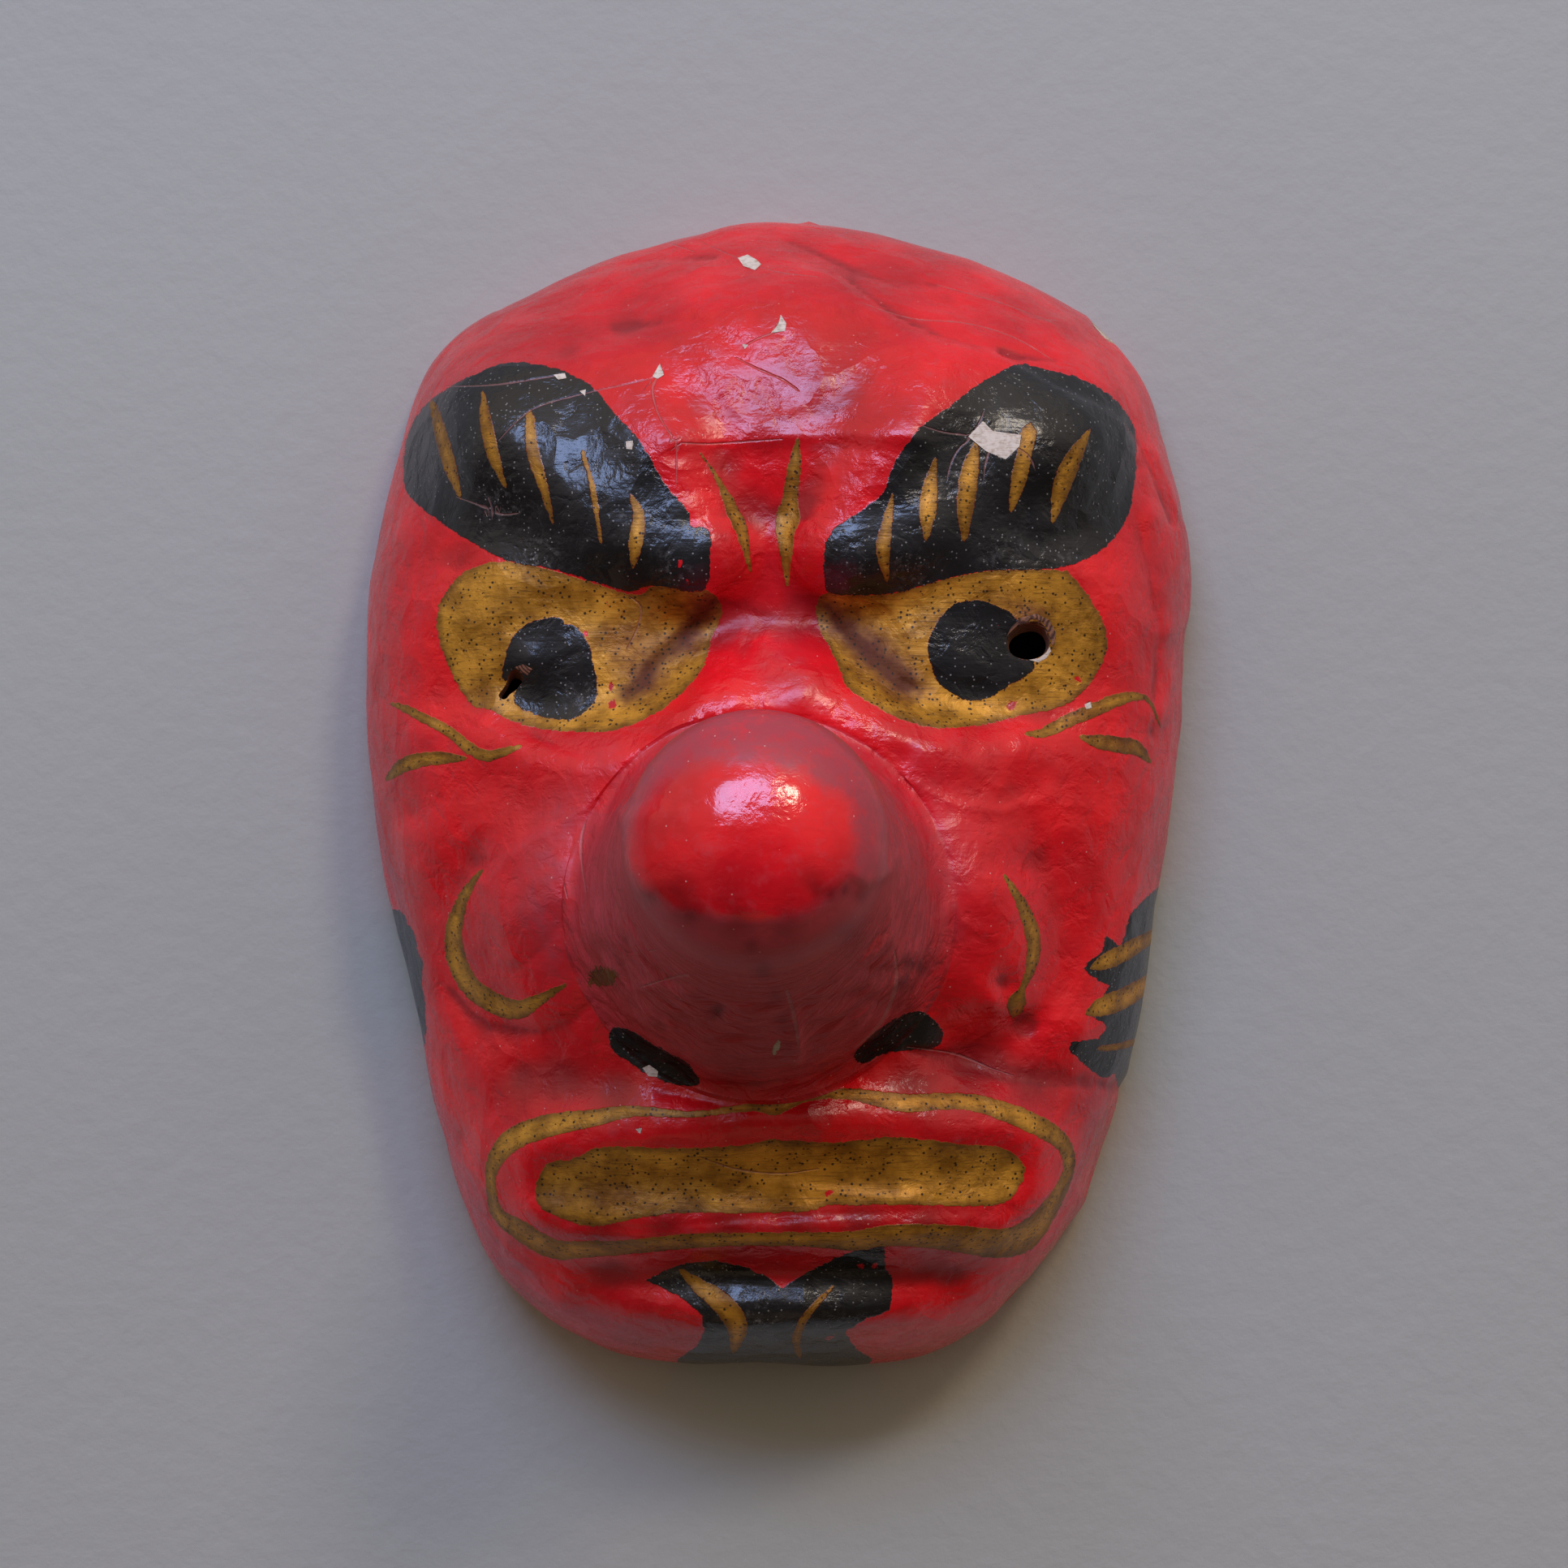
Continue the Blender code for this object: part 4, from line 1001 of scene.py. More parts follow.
def outer_skin(sizes):
    """The outer skin's end point and its rings on the nose and on the face, with the paper's relief."""
    rim = rim_points(sizes, OUTER_SPOKES)
    tip, nose = nose_rings(sizes, rim[::2], *OUTER_RINGS[:3])
    face = face_rings(sizes, rim, OUTER_RINGS[3])
    nose_out, face_out = outwards(nose), outwards(face)
    across, down, pixel = on_photo(face)
    rise = unevenness(face) + folds(FACE_FOLDS, across, down, pixel) + spots(FACE_DENTS, across, down)
    face_rise = rise * rim_fade(face)
    across, down, pixel = on_photo(nose)
    height = nose[..., 2]
    low = ramp(height, *FOLDED_BELOW)
    shaped = folds(NOSE_FOLDS, across, down, pixel) + spots(NOSE_DENTS, across, down)
    lip = folds((KNOB_LIP,), across, down, pixel) * (nose_out[..., 2] > -0.1)
    calm = 1 - 0.65 * ramp(height, *CALM_ABOVE)
    # Sagged sheets: creases 3 mm apart that run round the shank, deepest on its underside
    creased = nose * (0.4, 0.4, 1.0)
    creased[..., 2] += rough(nose, 13 * MM, 41.0) * 5 * MM
    sagged = rough(creased, 2.8 * MM, 31.0) + rough(creased, 1.5 * MM, 37.0) * 0.4
    shank = ramp(height, *SAGGED_BELOW) * ramp(height, *SAGGED_ABOVE)
    sagged = sagged * shank * (0.3 + 0.75 * under_nose(sizes, nose))
    nose_rise = unevenness(nose, 0.75) * calm + shaped * low + lip + sagged
    nose = nose + nose_out * (nose_rise * MM)[..., None]
    face = rim_wear(face + face_out * (face_rise * MM)[..., None])
    return tip + nose_axis(sizes) * nose_rise[0].mean() * MM, nose, face


def inner_skin(sizes):
    """The inner skin: the outer form moved inwards by the wall, rougher and without the carving."""
    rim = rim_points(sizes, OUTER_SPOKES // 2)
    tip, nose = nose_rings(sizes, rim[::2], *INNER_RINGS[:3])
    face = face_rings(sizes, rim, INNER_RINGS[3])
    moved = []
    for rings in (nose, face):
        out = outwards(rings)
        deep = sizes.wall + (0.5 + unevenness(rings + 0.3, 0.8) * 0.5) * MM
        moved.append(rings - out * deep[..., None])
    nose, face = moved
    level = rim / np.linalg.norm(rim, axis=1)[:, None]
    face[-1, :, :2] = rim - level * sizes.wall
    face[-1, :, 2] = 0
    return tip - nose_axis(sizes) * sizes.wall * 1.2, nose, face


def band(inside, outside):
    """Faces between two rings of vertex numbers, facing away from the mask."""
    inside_next, outside_next = np.roll(inside, -1), np.roll(outside, -1)
    if len(inside) == len(outside):
        return np.column_stack((inside, inside_next, outside_next, outside)).tolist()
    even, odd = outside[::2], outside[1::2]
    faces = np.column_stack((inside, odd, even)).tolist()
    faces += np.column_stack((inside, inside_next, odd)).tolist()
    return faces + np.column_stack((inside_next, np.roll(even, -1), odd)).tolist()


def skin_faces(first, counts):
    """The vertex numbers of the rings after a tip numbered first, and the faces from the tip outwards."""
    starts = first + 1 + np.concatenate(([0], np.cumsum(counts)[:-1]))
    rings = [np.arange(start, start + count) for start, count in zip(starts, counts)]
    fan = np.column_stack((np.full(counts[0], first), np.roll(rings[0], -1), rings[0])).tolist()
    for inside, outside in zip(rings, rings[1:]):
        fan += band(inside, outside)
    return rings, fan


def furrows(rings):
    """How far each point lies below its neighbours, in millimetres; negative on ridges."""
    out = outwards(rings)
    total = np.zeros(rings.shape[:2])
    for step in (2, 5):
        around = np.roll(rings, step, axis=1) + np.roll(rings, -step, axis=1)
        padded = np.concatenate((rings[:1].repeat(step, 0), rings, rings[-1:].repeat(step, 0)))
        along = padded[: -2 * step] + padded[2 * step :]
        total += np.einsum("rsk,rsk->rs", (around + along) / 4 - rings, out) / MM
    return total


def paint_fields(sizes, tip, nose, face):
    """Every field that the painted material reads, for the tip, the nose and the face, in one row each."""
    fields = {}
    across, down, pixel = on_photo(face)
    fields["gold_edge"] = shapes_field(GOLD_SHAPES, across, down, pixel, 4)
    black = shapes_field(BLACK_SHAPES, across, down, pixel, 4)
    fields["black_edge"] = np.minimum(black, shapes_field(RAGGED_SHAPES, across, down, pixel, 1))
    fields["chip_edge"] = shapes_field(CHIP_SHAPES, across, down, pixel, 1)
    strokes = [(stroke, False) for stroke in GOLD_STROKES] + [(MOUTH_RING, True)]
    fields["stroke_side"], fields["stroke_half"] = strokes_field(strokes, across, down, pixel)
    cracks = [(crack, False) for crack in CRACKS]
    fields["crack_side"], fields["crack_half"] = strokes_field(cracks, across, down, pixel)
    # Spots of dust, thin gold and red flecks, rubbed enamel that is also painted sheen, and painted shade
    spotted = {"dusty": DUSTY, "thin_gold": THIN_GOLD, "red_fleck": RED_FLECKS}
    spotted.update({"rubbed": RUBBED_AND_SHEEN, "shaded": PAINTED_SHADE})
    for name, places in spotted.items():
        fields[name] = spots(places, across, down)
    # Furrows, where the red darkens with dirt and painted shade, fade towards the seam between the nose and
    # the face, on both sides of it
    fields["furrow"] = furrows(face) * ramp(np.arange(len(face)), 0, 8)[:, None]
    for name in ("ripple", "underlayer", "knob"):
        fields[name] = np.zeros(face.shape[:2])
    fields["stained"] = smears(STAINS_AND_SHADE, across, down)
    across, down, pixel = on_photo(nose)
    height = nose[..., 2]
    far = {"stroke_side": FAR, "stroke_half": -FAR, "dusty": 0.0, "red_fleck": 0.0, "stained": 0.0}
    on_nose = {name: np.full(nose.shape[:2], value) for name, value in far.items()}
    low, cracked = height < PAINTED_BELOW, height < CRACKED_BELOW
    smudge = (ellipse(across, down, SMUDGE) - 0.8) * 0.7
    cracks = [(crack, False) for crack in NOSE_CRACKS]
    crack_side, crack_half = strokes_field(cracks, across, down, pixel)
    on_nose["crack_side"] = np.where(cracked, crack_side, FAR)
    on_nose["crack_half"] = np.where(cracked, crack_half, -FAR)
    on_nose["gold_edge"] = np.where(low, smudge, FAR)
    on_nose["thin_gold"] = np.where(low, 0.9, 0.0)
    black = shapes_field(BLACK_SHAPES, across, down, pixel, 4)
    on_nose["black_edge"] = np.where(low, black, FAR)
    chip = shapes_field(CHIP_SHAPES, across, down, pixel, 1)
    x, y, wide, high = PEELED
    peeled = np.hypot((across - x) / wide, (down - y) / high + (across - x) / high) - 1
    on_nose["chip_edge"] = np.where(low, np.minimum(chip, peeled), FAR)
    # Round the knob's bright end: a band of matt pink that is rubbed enamel and a painted reflection where
    # the knob turns away
    off = ellipse(across, down, BRIGHT_END) + rough(nose, 9 * MM, 5.5) * 0.16
    on_nose["rubbed"] = 0.95 * (ramp(off, 0.94, 0.16) * ramp(height, *RUBBED_ABOVE))
    # Painted shadows in the folds and dents under the knob
    on_nose["shaded"] = spots(NOSE_PAINTED_SHADE, across, down)
    on_nose["furrow"] = furrows(nose) * ramp(np.arange(len(nose))[::-1], 0, 10)[:, None]
    on_nose["ripple"] = under_nose(sizes, nose)
    # The first coat below the knob's lip, coloured also as painted purple-grey sheen and shade of the
    # underside
    lip_side, _, _ = beside(np.array(KNOB_LIP[3], float), across, down)
    below = ramp(lip_side * pixel / MM, 0, 0.5) * (down > COAT_TOP)
    sides = ramp(across, *COAT_LEFT) * ramp(across, *COAT_RIGHT)
    on_nose["underlayer"] = below * sides * ramp(down, *COAT_BOTTOM)
    on_nose["knob"] = ramp(height, *KNOB_ABOVE)
    rows = {}
    for name, on_face in fields.items():
        middle = on_nose[name][0].mean()
        rows[name] = np.concatenate(([middle], on_nose[name].ravel(), on_face.ravel()))
    return rows


def shell_mesh(sizes):
    """The closed shell: both skins and the rim between them, with the paint's fields on its points."""
    tip, nose, face = outer_skin(sizes)
    inner_tip, inner_nose, inner_face = inner_skin(sizes)
    outer_counts = [nose.shape[1]] * len(nose) + [face.shape[1]] * len(face)
    inner_counts = [inner_nose.shape[1]] * len(inner_nose) + [inner_face.shape[1]] * len(inner_face)
    stacks = (tip[None], nose.reshape(-1, 3), face.reshape(-1, 3))
    inner_stacks = (inner_tip[None], inner_nose.reshape(-1, 3), inner_face.reshape(-1, 3))
    points = np.vstack(stacks + inner_stacks)
    outer_rings, outer_faces = skin_faces(0, outer_counts)
    inner_rings, inner_faces = skin_faces(1 + sum(outer_counts), inner_counts)
    inner_faces = [face_of[::-1] for face_of in inner_faces]
    rim_faces = [face_of[::-1] for face_of in band(inner_rings[-1], outer_rings[-1])]
    data = bpy.data.meshes.new("mask_shell_paper")
    data.from_pydata(points.tolist(), [], outer_faces + inner_faces + rim_faces)
    slots = [PAINTED] * len(outer_faces) + [BARE] * (len(inner_faces) + len(rim_faces))
    data.polygons.foreach_set("material_index", slots)
    rows = paint_fields(sizes, tip, nose, face)
    for name, row in rows.items():
        layer = data.attributes.new(name, "FLOAT", "POINT")
        rest = np.full(len(points) - len(row), FAR if name.endswith(("edge", "side")) else 0.0)
        layer.data.foreach_set("value", np.concatenate((row, rest)).astype(np.float32))
    data.update()
    return data


def hole_cutter(name, shape, sizes):
    """A closed plug with a ragged outline, which narrows downwards, to cut a sight hole with."""
    middle = np.mean(shape, axis=0)
    shape = smooth_line(shape, 3, True)
    points, count = [], len(shape)
    place = from_photo(*middle, EYE_HEIGHT)
    top = float(face_height(sizes, place.x, place.y))
    low = (PLUG_NARROW, PLUG_SHIFT)
    steps = ((top + 20 * MM, 1.0, 0), (top, 1.0, 0), (top - 3 * MM, *low), (top - 30 * MM, *low))
    for height, narrow, shift in steps:
        for x, y in middle + (shape - middle) * narrow:
            place = from_photo(x, y + shift, top)
            points.append((place.x, place.y, height))
    rows = [list(range(k * count, (k + 1) * count)) for k in range(4)]
    faces = [rows[0][::-1], rows[3]]
    for upper, lower in zip(rows, rows[1:]):
        for k in range(count):
            n = (k + 1) % count
            faces.append((upper[k], upper[n], lower[n], lower[k]))
    data = bpy.data.meshes.new(name)
    data.from_pydata(points, [], faces)
    mesh = bmesh.new()
    mesh.from_mesh(data)
    bmesh.ops.recalc_face_normals(mesh, faces=mesh.faces)
    mesh.to_mesh(data)
    mesh.free()
    data.polygons.foreach_set("material_index", [TORN] * len(data.polygons))
    return placed(name, data)


def placed(name, data):
    """A new object in the scene, with its data."""
    made = bpy.data.objects.new(name, data)
    bpy.context.scene.collection.objects.link(made)
    return made


def put(tree, kind, inputs=None, **settings):
    """A new node with its settings, and each input set to a value or linked from a node or a socket."""
    node = tree.nodes.new(kind)
    for name, value in settings.items():
        setattr(node, name, value)
    for name, value in (inputs or {}).items():
        if isinstance(value, bpy.types.Node):
            value = next(socket for socket in value.outputs if socket.enabled)
        if isinstance(value, bpy.types.NodeSocket):
            tree.links.new(value, node.inputs[name])
        else:
            node.inputs[name].default_value = value
    return node


def new_material(name):
    """A new node material, with its tree, its shader and the object's own coordinates in metres."""
    material = bpy.data.materials.new(name)
    material.use_nodes = True
    tree = material.node_tree
    place = put(tree, "ShaderNodeTexCoord").outputs["Object"]
    return material, tree, tree.nodes["Principled BSDF"], place


def gloss_enamel_on_paper(colours):
    """Red enamel, black lacquer and bronze-powder gold, brushed over pasted paper."""
    # Enamel brushed over hand-pasted paper: a hard wet gloss that follows every wrinkle, deep
    # crimson where it pooled, thin and scarlet where it was brushed out. The black is lacquer with
    # dust in it; the gold is bronze powder in a brown binder, so it glints only a little
    material, tree, shader, place = new_material("gloss_enamel_on_paper")
    field = {}
    for name in PAINT_FIELDS:
        field[name] = put(tree, "ShaderNodeAttribute", attribute_name=name).outputs["Fac"]

    # Brushed edges: they wander by 0.2 mm over 1.5 mm, and fray by 0.1 mm over 0.4 mm
    slow = put(tree, "ShaderNodeTexNoise", {"Vector": place, "Scale": 1 / (1.5 * MM), "Detail": 1.0})
    fray = put(tree, "ShaderNodeTexNoise", {"Vector": place, "Scale": 1 / (0.4 * MM), "Detail": 1.0})
    slow = put(tree, "ShaderNodeMath", {0: slow, 1: -0.5}, operation="ADD")
    fray = put(tree, "ShaderNodeMath", {0: fray, 1: -0.5}, operation="ADD")
    slow = put(tree, "ShaderNodeMath", {0: slow, 1: 0.8}, operation="MULTIPLY")
    wander = put(tree, "ShaderNodeMath", {0: fray, 1: 0.45, 2: slow}, operation="MULTIPLY_ADD")

    # Each paint's own edge, in millimetres, and its cover from 0 to 1
    edges, cover, film = {}, {}, {}
    for name in ("gold", "black", "chip"):
        edges[name] = put(tree, "ShaderNodeMath", {0: field[name + "_edge"], 1: wander}, operation="ADD")
    for name in ("stroke", "crack"):
        away = put(tree, "ShaderNodeMath", {0: field[name + "_side"]}, operation="ABSOLUTE")
        away = put(tree, "ShaderNodeMath", {0: away, 1: field[name + "_half"]}, operation="SUBTRACT")
        shake = 0.7 if name == "stroke" else 0.25
        edges[name] = put(tree, "ShaderNodeMath", {0: wander, 1: shake, 2: away}, operation="MULTIPLY_ADD")
    for name, edge in edges.items():
        for found, soft in ((cover, 0.07), (film, 0.16)):
            steps = {"Value": edge, "From Min": soft, "From Max": -soft}
            found[name] = put(tree, "ShaderNodeMapRange", steps, interpolation_type="SMOOTHSTEP")
    flecks = put(tree, "ShaderNodeMath", {0: wander, 1: 1.2, 2: field["red_fleck"]}, operation="MULTIPLY_ADD")
    flecks = put(tree, "ShaderNodeMapRange", {"Value": flecks, "From Min": 0.35, "From Max": 0.5})
    kept = put(tree, "ShaderNodeMath", {0: 1.0, 1: flecks}, operation="SUBTRACT")
    gold = put(tree, "ShaderNodeMath", {0: 1.0, 1: cover["black"]}, operation="SUBTRACT")
    gold = put(tree, "ShaderNodeMath", {0: gold, 1: cover["gold"]}, operation="MULTIPLY")
    gold = put(tree, "ShaderNodeMath", {0: gold, 1: cover["stroke"]}, operation="MAXIMUM")
    gold = put(tree, "ShaderNodeMath", {0: gold, 1: kept}, operation="MULTIPLY")
    black = put(tree, "ShaderNodeMath", {0: 1.0, 1: cover["stroke"]}, operation="SUBTRACT")
    black = put(tree, "ShaderNodeMath", {0: black, 1: cover["black"]}, operation="MULTIPLY")
    black = put(tree, "ShaderNodeMath", {0: black, 1: kept}, operation="MULTIPLY")

    # Red enamel: patches 18 mm across where it pooled or was brushed out, strokes of the brush
    # 0.8 mm wide and 12 mm long, dust of 0.2 mm, dirt and painted shade in furrows, wear on ridges,
    # matt pink that is rubbed enamel and painted sheen, the first coat under the knob painted as
    # sheen and shade, painted highlights on the creases under the nose, and painted shade round the
    # lips and on the forehead
    pooled = {"Vector": place, "Scale": 1 / (18 * MM), "Detail": 4.0, "Roughness": 0.6}
    pooled = put(tree, "ShaderNodeTexNoise", pooled)
    pooled = put(tree, "ShaderNodeMapRange", {"Value": pooled, "From Min": 0.36, "From Max": 0.64})
    red = {0: pooled, 6: (*colours.red_deep, 1), 7: (*colours.red_bright, 1)}
    red = put(tree, "ShaderNodeMix", red, data_type="RGBA")
    stretched = {"Vector": place, "Rotation": (0, 0, 0.35)}
    stretched["Scale"] = (1 / (12 * MM), 1 / (0.8 * MM), 1 / (2 * MM))
    stretched = put(tree, "ShaderNodeMapping", stretched)
    brush = put(tree, "ShaderNodeTexNoise", {"Vector": stretched, "Scale": 1.0, "Detail": 2.0})
    streak = {"Value": brush, "From Min": 0.5, "From Max": 0.75, "To Max": 0.22}
    streak = put(tree, "ShaderNodeMapRange", streak)
    # Dirt and painted shade in the furrows, darker where the skin lies below its neighbours
    dirt = {"Value": field["furrow"], "From Min": 0.15, "From Max": 0.8, "To Max": 0.6}
    dirt = put(tree, "ShaderNodeMapRange", dirt)
    patchy = {"Vector": place, "Scale": 1 / (3 * MM), "Detail": 5.0, "Roughness": 0.65}
    patchy = put(tree, "ShaderNodeTexNoise", patchy)
    worn = {"Value": field["furrow"], "From Min": -0.1, "From Max": -0.7, "To Max": 0.5}
    worn = put(tree, "ShaderNodeMapRange", worn)
    bared = put(tree, "ShaderNodeMapRange", {"Value": patchy, "From Min": 0.52, "From Max": 0.72})
    worn = put(tree, "ShaderNodeMath", {0: worn, 1: bared}, operation="MULTIPLY")
    # Matt pink: rubbed enamel that also paints sheen
    rubbed_off_and_sheen = put(tree, "ShaderNodeMath", {0: patchy, 1: 1.9}, operation="MULTIPLY")
    rubbed_off_and_sheen = {0: rubbed_off_and_sheen, 1: field["rubbed"]}
    rubbed_off_and_sheen = put(tree, "ShaderNodeMath", rubbed_off_and_sheen, operation="MULTIPLY", use_clamp=True)
    # First coat under the knob: painted purple-grey sheen and shade as well
    under = {0: wander, 1: 0.8, 2: field["underlayer"]}
    under = put(tree, "ShaderNodeMath", under, operation="MULTIPLY_ADD")
    under = {"Value": under, "From Min": 0.1, "From Max": 0.9, "To Max": 0.7}
    under = put(tree, "ShaderNodeMapRange", under)
    # Painted highlights: paler red on the raised crests of the sagged creases under the nose
    crease_highlight = {"Vector": place, "Scale": (1 / (9 * MM), 1 / (9 * MM), 1 / (1.6 * MM))}
    crease_highlight = put(tree, "ShaderNodeMapping", crease_highlight)
    sagged = {"Vector": crease_highlight, "Scale": 1.0, "Detail": 4.0, "Distortion": 1.2}
    sagged = put(tree, "ShaderNodeTexNoise", sagged)
    crease_highlight = {"Value": sagged, "From Min": 0.45, "From Max": 0.7, "To Max": 0.5}
    crease_highlight = put(tree, "ShaderNodeMapRange", crease_highlight)
    crease_highlight = put(tree, "ShaderNodeMath", {0: crease_highlight, 1: field["ripple"]}, operation="MULTIPLY")
    motes = put(tree, "ShaderNodeTexVoronoi", {"Vector": place, "Scale": 1 / (2.4 * MM)})
    mote = {"Value": motes.outputs["Distance"], "From Min": 0.075, "From Max": 0.045}
    mote = put(tree, "ShaderNodeMapRange", mote)
    chance = put(tree, "ShaderNodeSeparateColor", {"Color": motes.outputs["Color"]})
    lucky = put(tree, "ShaderNodeMath", {0: chance.outputs["Red"], 1: 0.45}, operation="LESS_THAN")
    mote = put(tree, "ShaderNodeMath", {0: mote, 1: lucky}, operation="MULTIPLY")
    faint = put(tree, "ShaderNodeMath", {0: mote, 1: 0.55}, operation="MULTIPLY")
    layers = (
        (streak, colours.red_thin),
        (dirt, colours.red_shade_and_dirt),
        (worn, colours.red_worn_and_highlight),
        (rubbed_off_and_sheen, colours.red_rubbed_and_sheen),
        (under, colours.red_under_sheen_shade),
        (crease_highlight, colours.red_worn_and_highlight),
        # Painted shade round the lips, on the forehead and under the nose
        (field["shaded"], colours.red_shade_and_dirt),
        (faint, colours.dust),
    )
    for share, tint in layers:
        red = put(tree, "ShaderNodeMix", {0: share, 6: red, 7: (*tint, 1)}, data_type="RGBA")

    # Bronze-powder gold: cloudy over 7 mm, pinholes of 0.5 mm where the brown binder shows,
    # streaks 0.35 mm wide from the brush, red where it is thin, dirt and painted shade in the eyes'
    # corners and on the mouth, a brown line where it ends
    cloud = {"Vector": place, "Scale": 1 / (7 * MM), "Detail": 5.0, "Roughness": 0.6}
    cloud = put(tree, "ShaderNodeTexNoise", cloud)
    cloud = put(tree, "ShaderNodeMapRange", {"Value": cloud, "From Min": 0.36, "From Max": 0.62})
    bronze = {0: cloud, 6: (*colours.gold_dull, 1), 7: (*colours.gold_bright, 1)}
    bronze = put(tree, "ShaderNodeMix", bronze, data_type="RGBA")
    combed = {"Vector": place, "Rotation": (0, 0, -0.12)}
    combed["Scale"] = (1 / (5 * MM), 1 / (0.35 * MM), 1 / (1 * MM))
    combed = put(tree, "ShaderNodeMapping", combed)
    comb = put(tree, "ShaderNodeTexNoise", {"Vector": combed, "Scale": 1.0, "Detail": 3.0})
    ground = {"Value": comb, "From Min": 0.54, "From Max": 0.74, "To Max": 0.6}
    ground = put(tree, "ShaderNodeMapRange", ground)
    holes = put(tree, "ShaderNodeTexVoronoi", {"Vector": place, "Scale": 1 / (0.95 * MM)})
    hole = {"Value": holes.outputs["Distance"], "From Min": 0.33, "From Max": 0.21}
    hole = put(tree, "ShaderNodeMapRange", hole)
    chance = put(tree, "ShaderNodeSeparateColor", {"Color": holes.outputs["Color"]})
    common = {"Value": patchy, "From Min": 0.38, "From Max": 0.62, "To Min": 0.1, "To Max": 0.97}
    common = put(tree, "ShaderNodeMapRange", common)
    lucky = {0: chance.outputs["Green"], 1: common}
    lucky = put(tree, "ShaderNodeMath", lucky, operation="LESS_THAN")
    hole = put(tree, "ShaderNodeMath", {0: hole, 1: lucky}, operation="MULTIPLY")
    pinhole = put(tree, "ShaderNodeMath", {0: hole, 1: 0.95}, operation="MULTIPLY")
    thin = {0: slow, 1: 0.8, 2: field["thin_gold"]}
    thin = put(tree, "ShaderNodeMath", thin, operation="MULTIPLY_ADD")
    thin = {"Value": thin, "From Min": 0.1, "From Max": 1.1, "To Max": 0.9}
    thin = put(tree, "ShaderNodeMapRange", thin)
    # Dirt and painted shade in the eyes' corner grooves and on the mouth
    stain = {0: slow, 1: 0.5, 2: field["stained"]}
    stain = put(tree, "ShaderNodeMath", stain, operation="MULTIPLY_ADD")
    stain = {"Value": stain, "From Min": 0.1, "From Max": 1.0, "To Max": 0.8}
    stain = put(tree, "ShaderNodeMapRange", stain)
    brim = {0: edges["gold"], 1: edges["stroke"]}
    brim = put(tree, "ShaderNodeMath", brim, operation="MINIMUM")
    brim = {"Value": brim, "From Min": -1.5, "From Max": -0.05, "To Max": 0.52}
    brim = put(tree, "ShaderNodeMapRange", brim, interpolation_type="SMOOTHSTEP")
    layers = (
        (ground, colours.gold_binder),
        (thin, colours.gold_thin),
        (stain, colours.gold_stain_and_shade),
        (pinhole, colours.gold_pinhole),
        (brim, colours.gold_binder),
    )
    for share, tint in layers:
        bronze = put(tree, "ShaderNodeMix", {0: share, 6: bronze, 7: (*tint, 1)}, data_type="RGBA")

    # Black lacquer: dust of 0.3 mm settled in it, and scuffs where it was rubbed
    powder = put(tree, "ShaderNodeTexVoronoi", {"Vector": place, "Scale": 1 / (0.85 * MM)})
    grain = {"Value": powder.outputs["Distance"], "From Min": 0.24, "From Max": 0.12}
    grain = put(tree, "ShaderNodeMapRange", grain)
    chance = put(tree, "ShaderNodeSeparateColor", {"Color": powder.outputs["Color"]})
    often = {"Value": field["dusty"], "To Min": 0.3, "To Max": 0.85}
    often = put(tree, "ShaderNodeMapRange", often)
    lucky = put(tree, "ShaderNodeMath", {0: chance.outputs["Red"], 1: often}, operation="LESS_THAN")
    grain = put(tree, "ShaderNodeMath", {0: grain, 1: lucky}, operation="MULTIPLY")
    rubbed = {"Vector": place, "Scale": 1 / (1.6 * MM), "Detail": 6.0, "Roughness": 0.75}
    rubbed = put(tree, "ShaderNodeTexNoise", rubbed)
    rubbed = put(tree, "ShaderNodeMapRange", {"Value": rubbed, "From Min": 0.52, "From Max": 0.66})
    scuff = put(tree, "ShaderNodeMath", {0: rubbed, 1: field["dusty"]}, operation="MULTIPLY")
    scuff = put(tree, "ShaderNodeMath", {0: scuff, 1: 0.55}, operation="MULTIPLY")
    pale = {0: grain, 1: 0.75, 2: scuff}
    pale = put(tree, "ShaderNodeMath", pale, operation="MULTIPLY_ADD", use_clamp=True)
    lacquer = {0: pooled, 6: (*colours.black_deep, 1), 7: (*colours.black_thin, 1)}
    lacquer = put(tree, "ShaderNodeMix", lacquer, data_type="RGBA")
    lacquer = put(tree, "ShaderNodeMix", {0: pale, 6: lacquer, 7: (*colours.black_dust, 1)}, data_type="RGBA")

    # Bare paper where the paint came off, and cracks and seams drawn as pale lines: a painted highlight on
    # their raised edges
    flake = {0: patchy, 6: (*colours.paper_dark, 1), 7: (*colours.paper_light, 1)}
    flake = put(tree, "ShaderNodeMix", flake, data_type="RGBA")
    paint = put(tree, "ShaderNodeMix", {0: gold, 6: red, 7: bronze}, data_type="RGBA")
    paint = put(tree, "ShaderNodeMix", {0: black, 6: paint, 7: lacquer}, data_type="RGBA")
    # Pale lines along the cracks and seams: painted highlights on their raised edges
    torn = put(tree, "ShaderNodeMath", {0: cover["crack"], 1: 0.42}, operation="MULTIPLY")
    paint = put(tree, "ShaderNodeMix", {0: torn, 6: paint, 7: (*colours.crack, 1)}, data_type="RGBA")
    paint = put(tree, "ShaderNodeMix", {0: cover["chip"], 6: paint, 7: flake}, data_type="RGBA")
    tree.links.new(paint.outputs[2], shader.inputs["Base Color"])

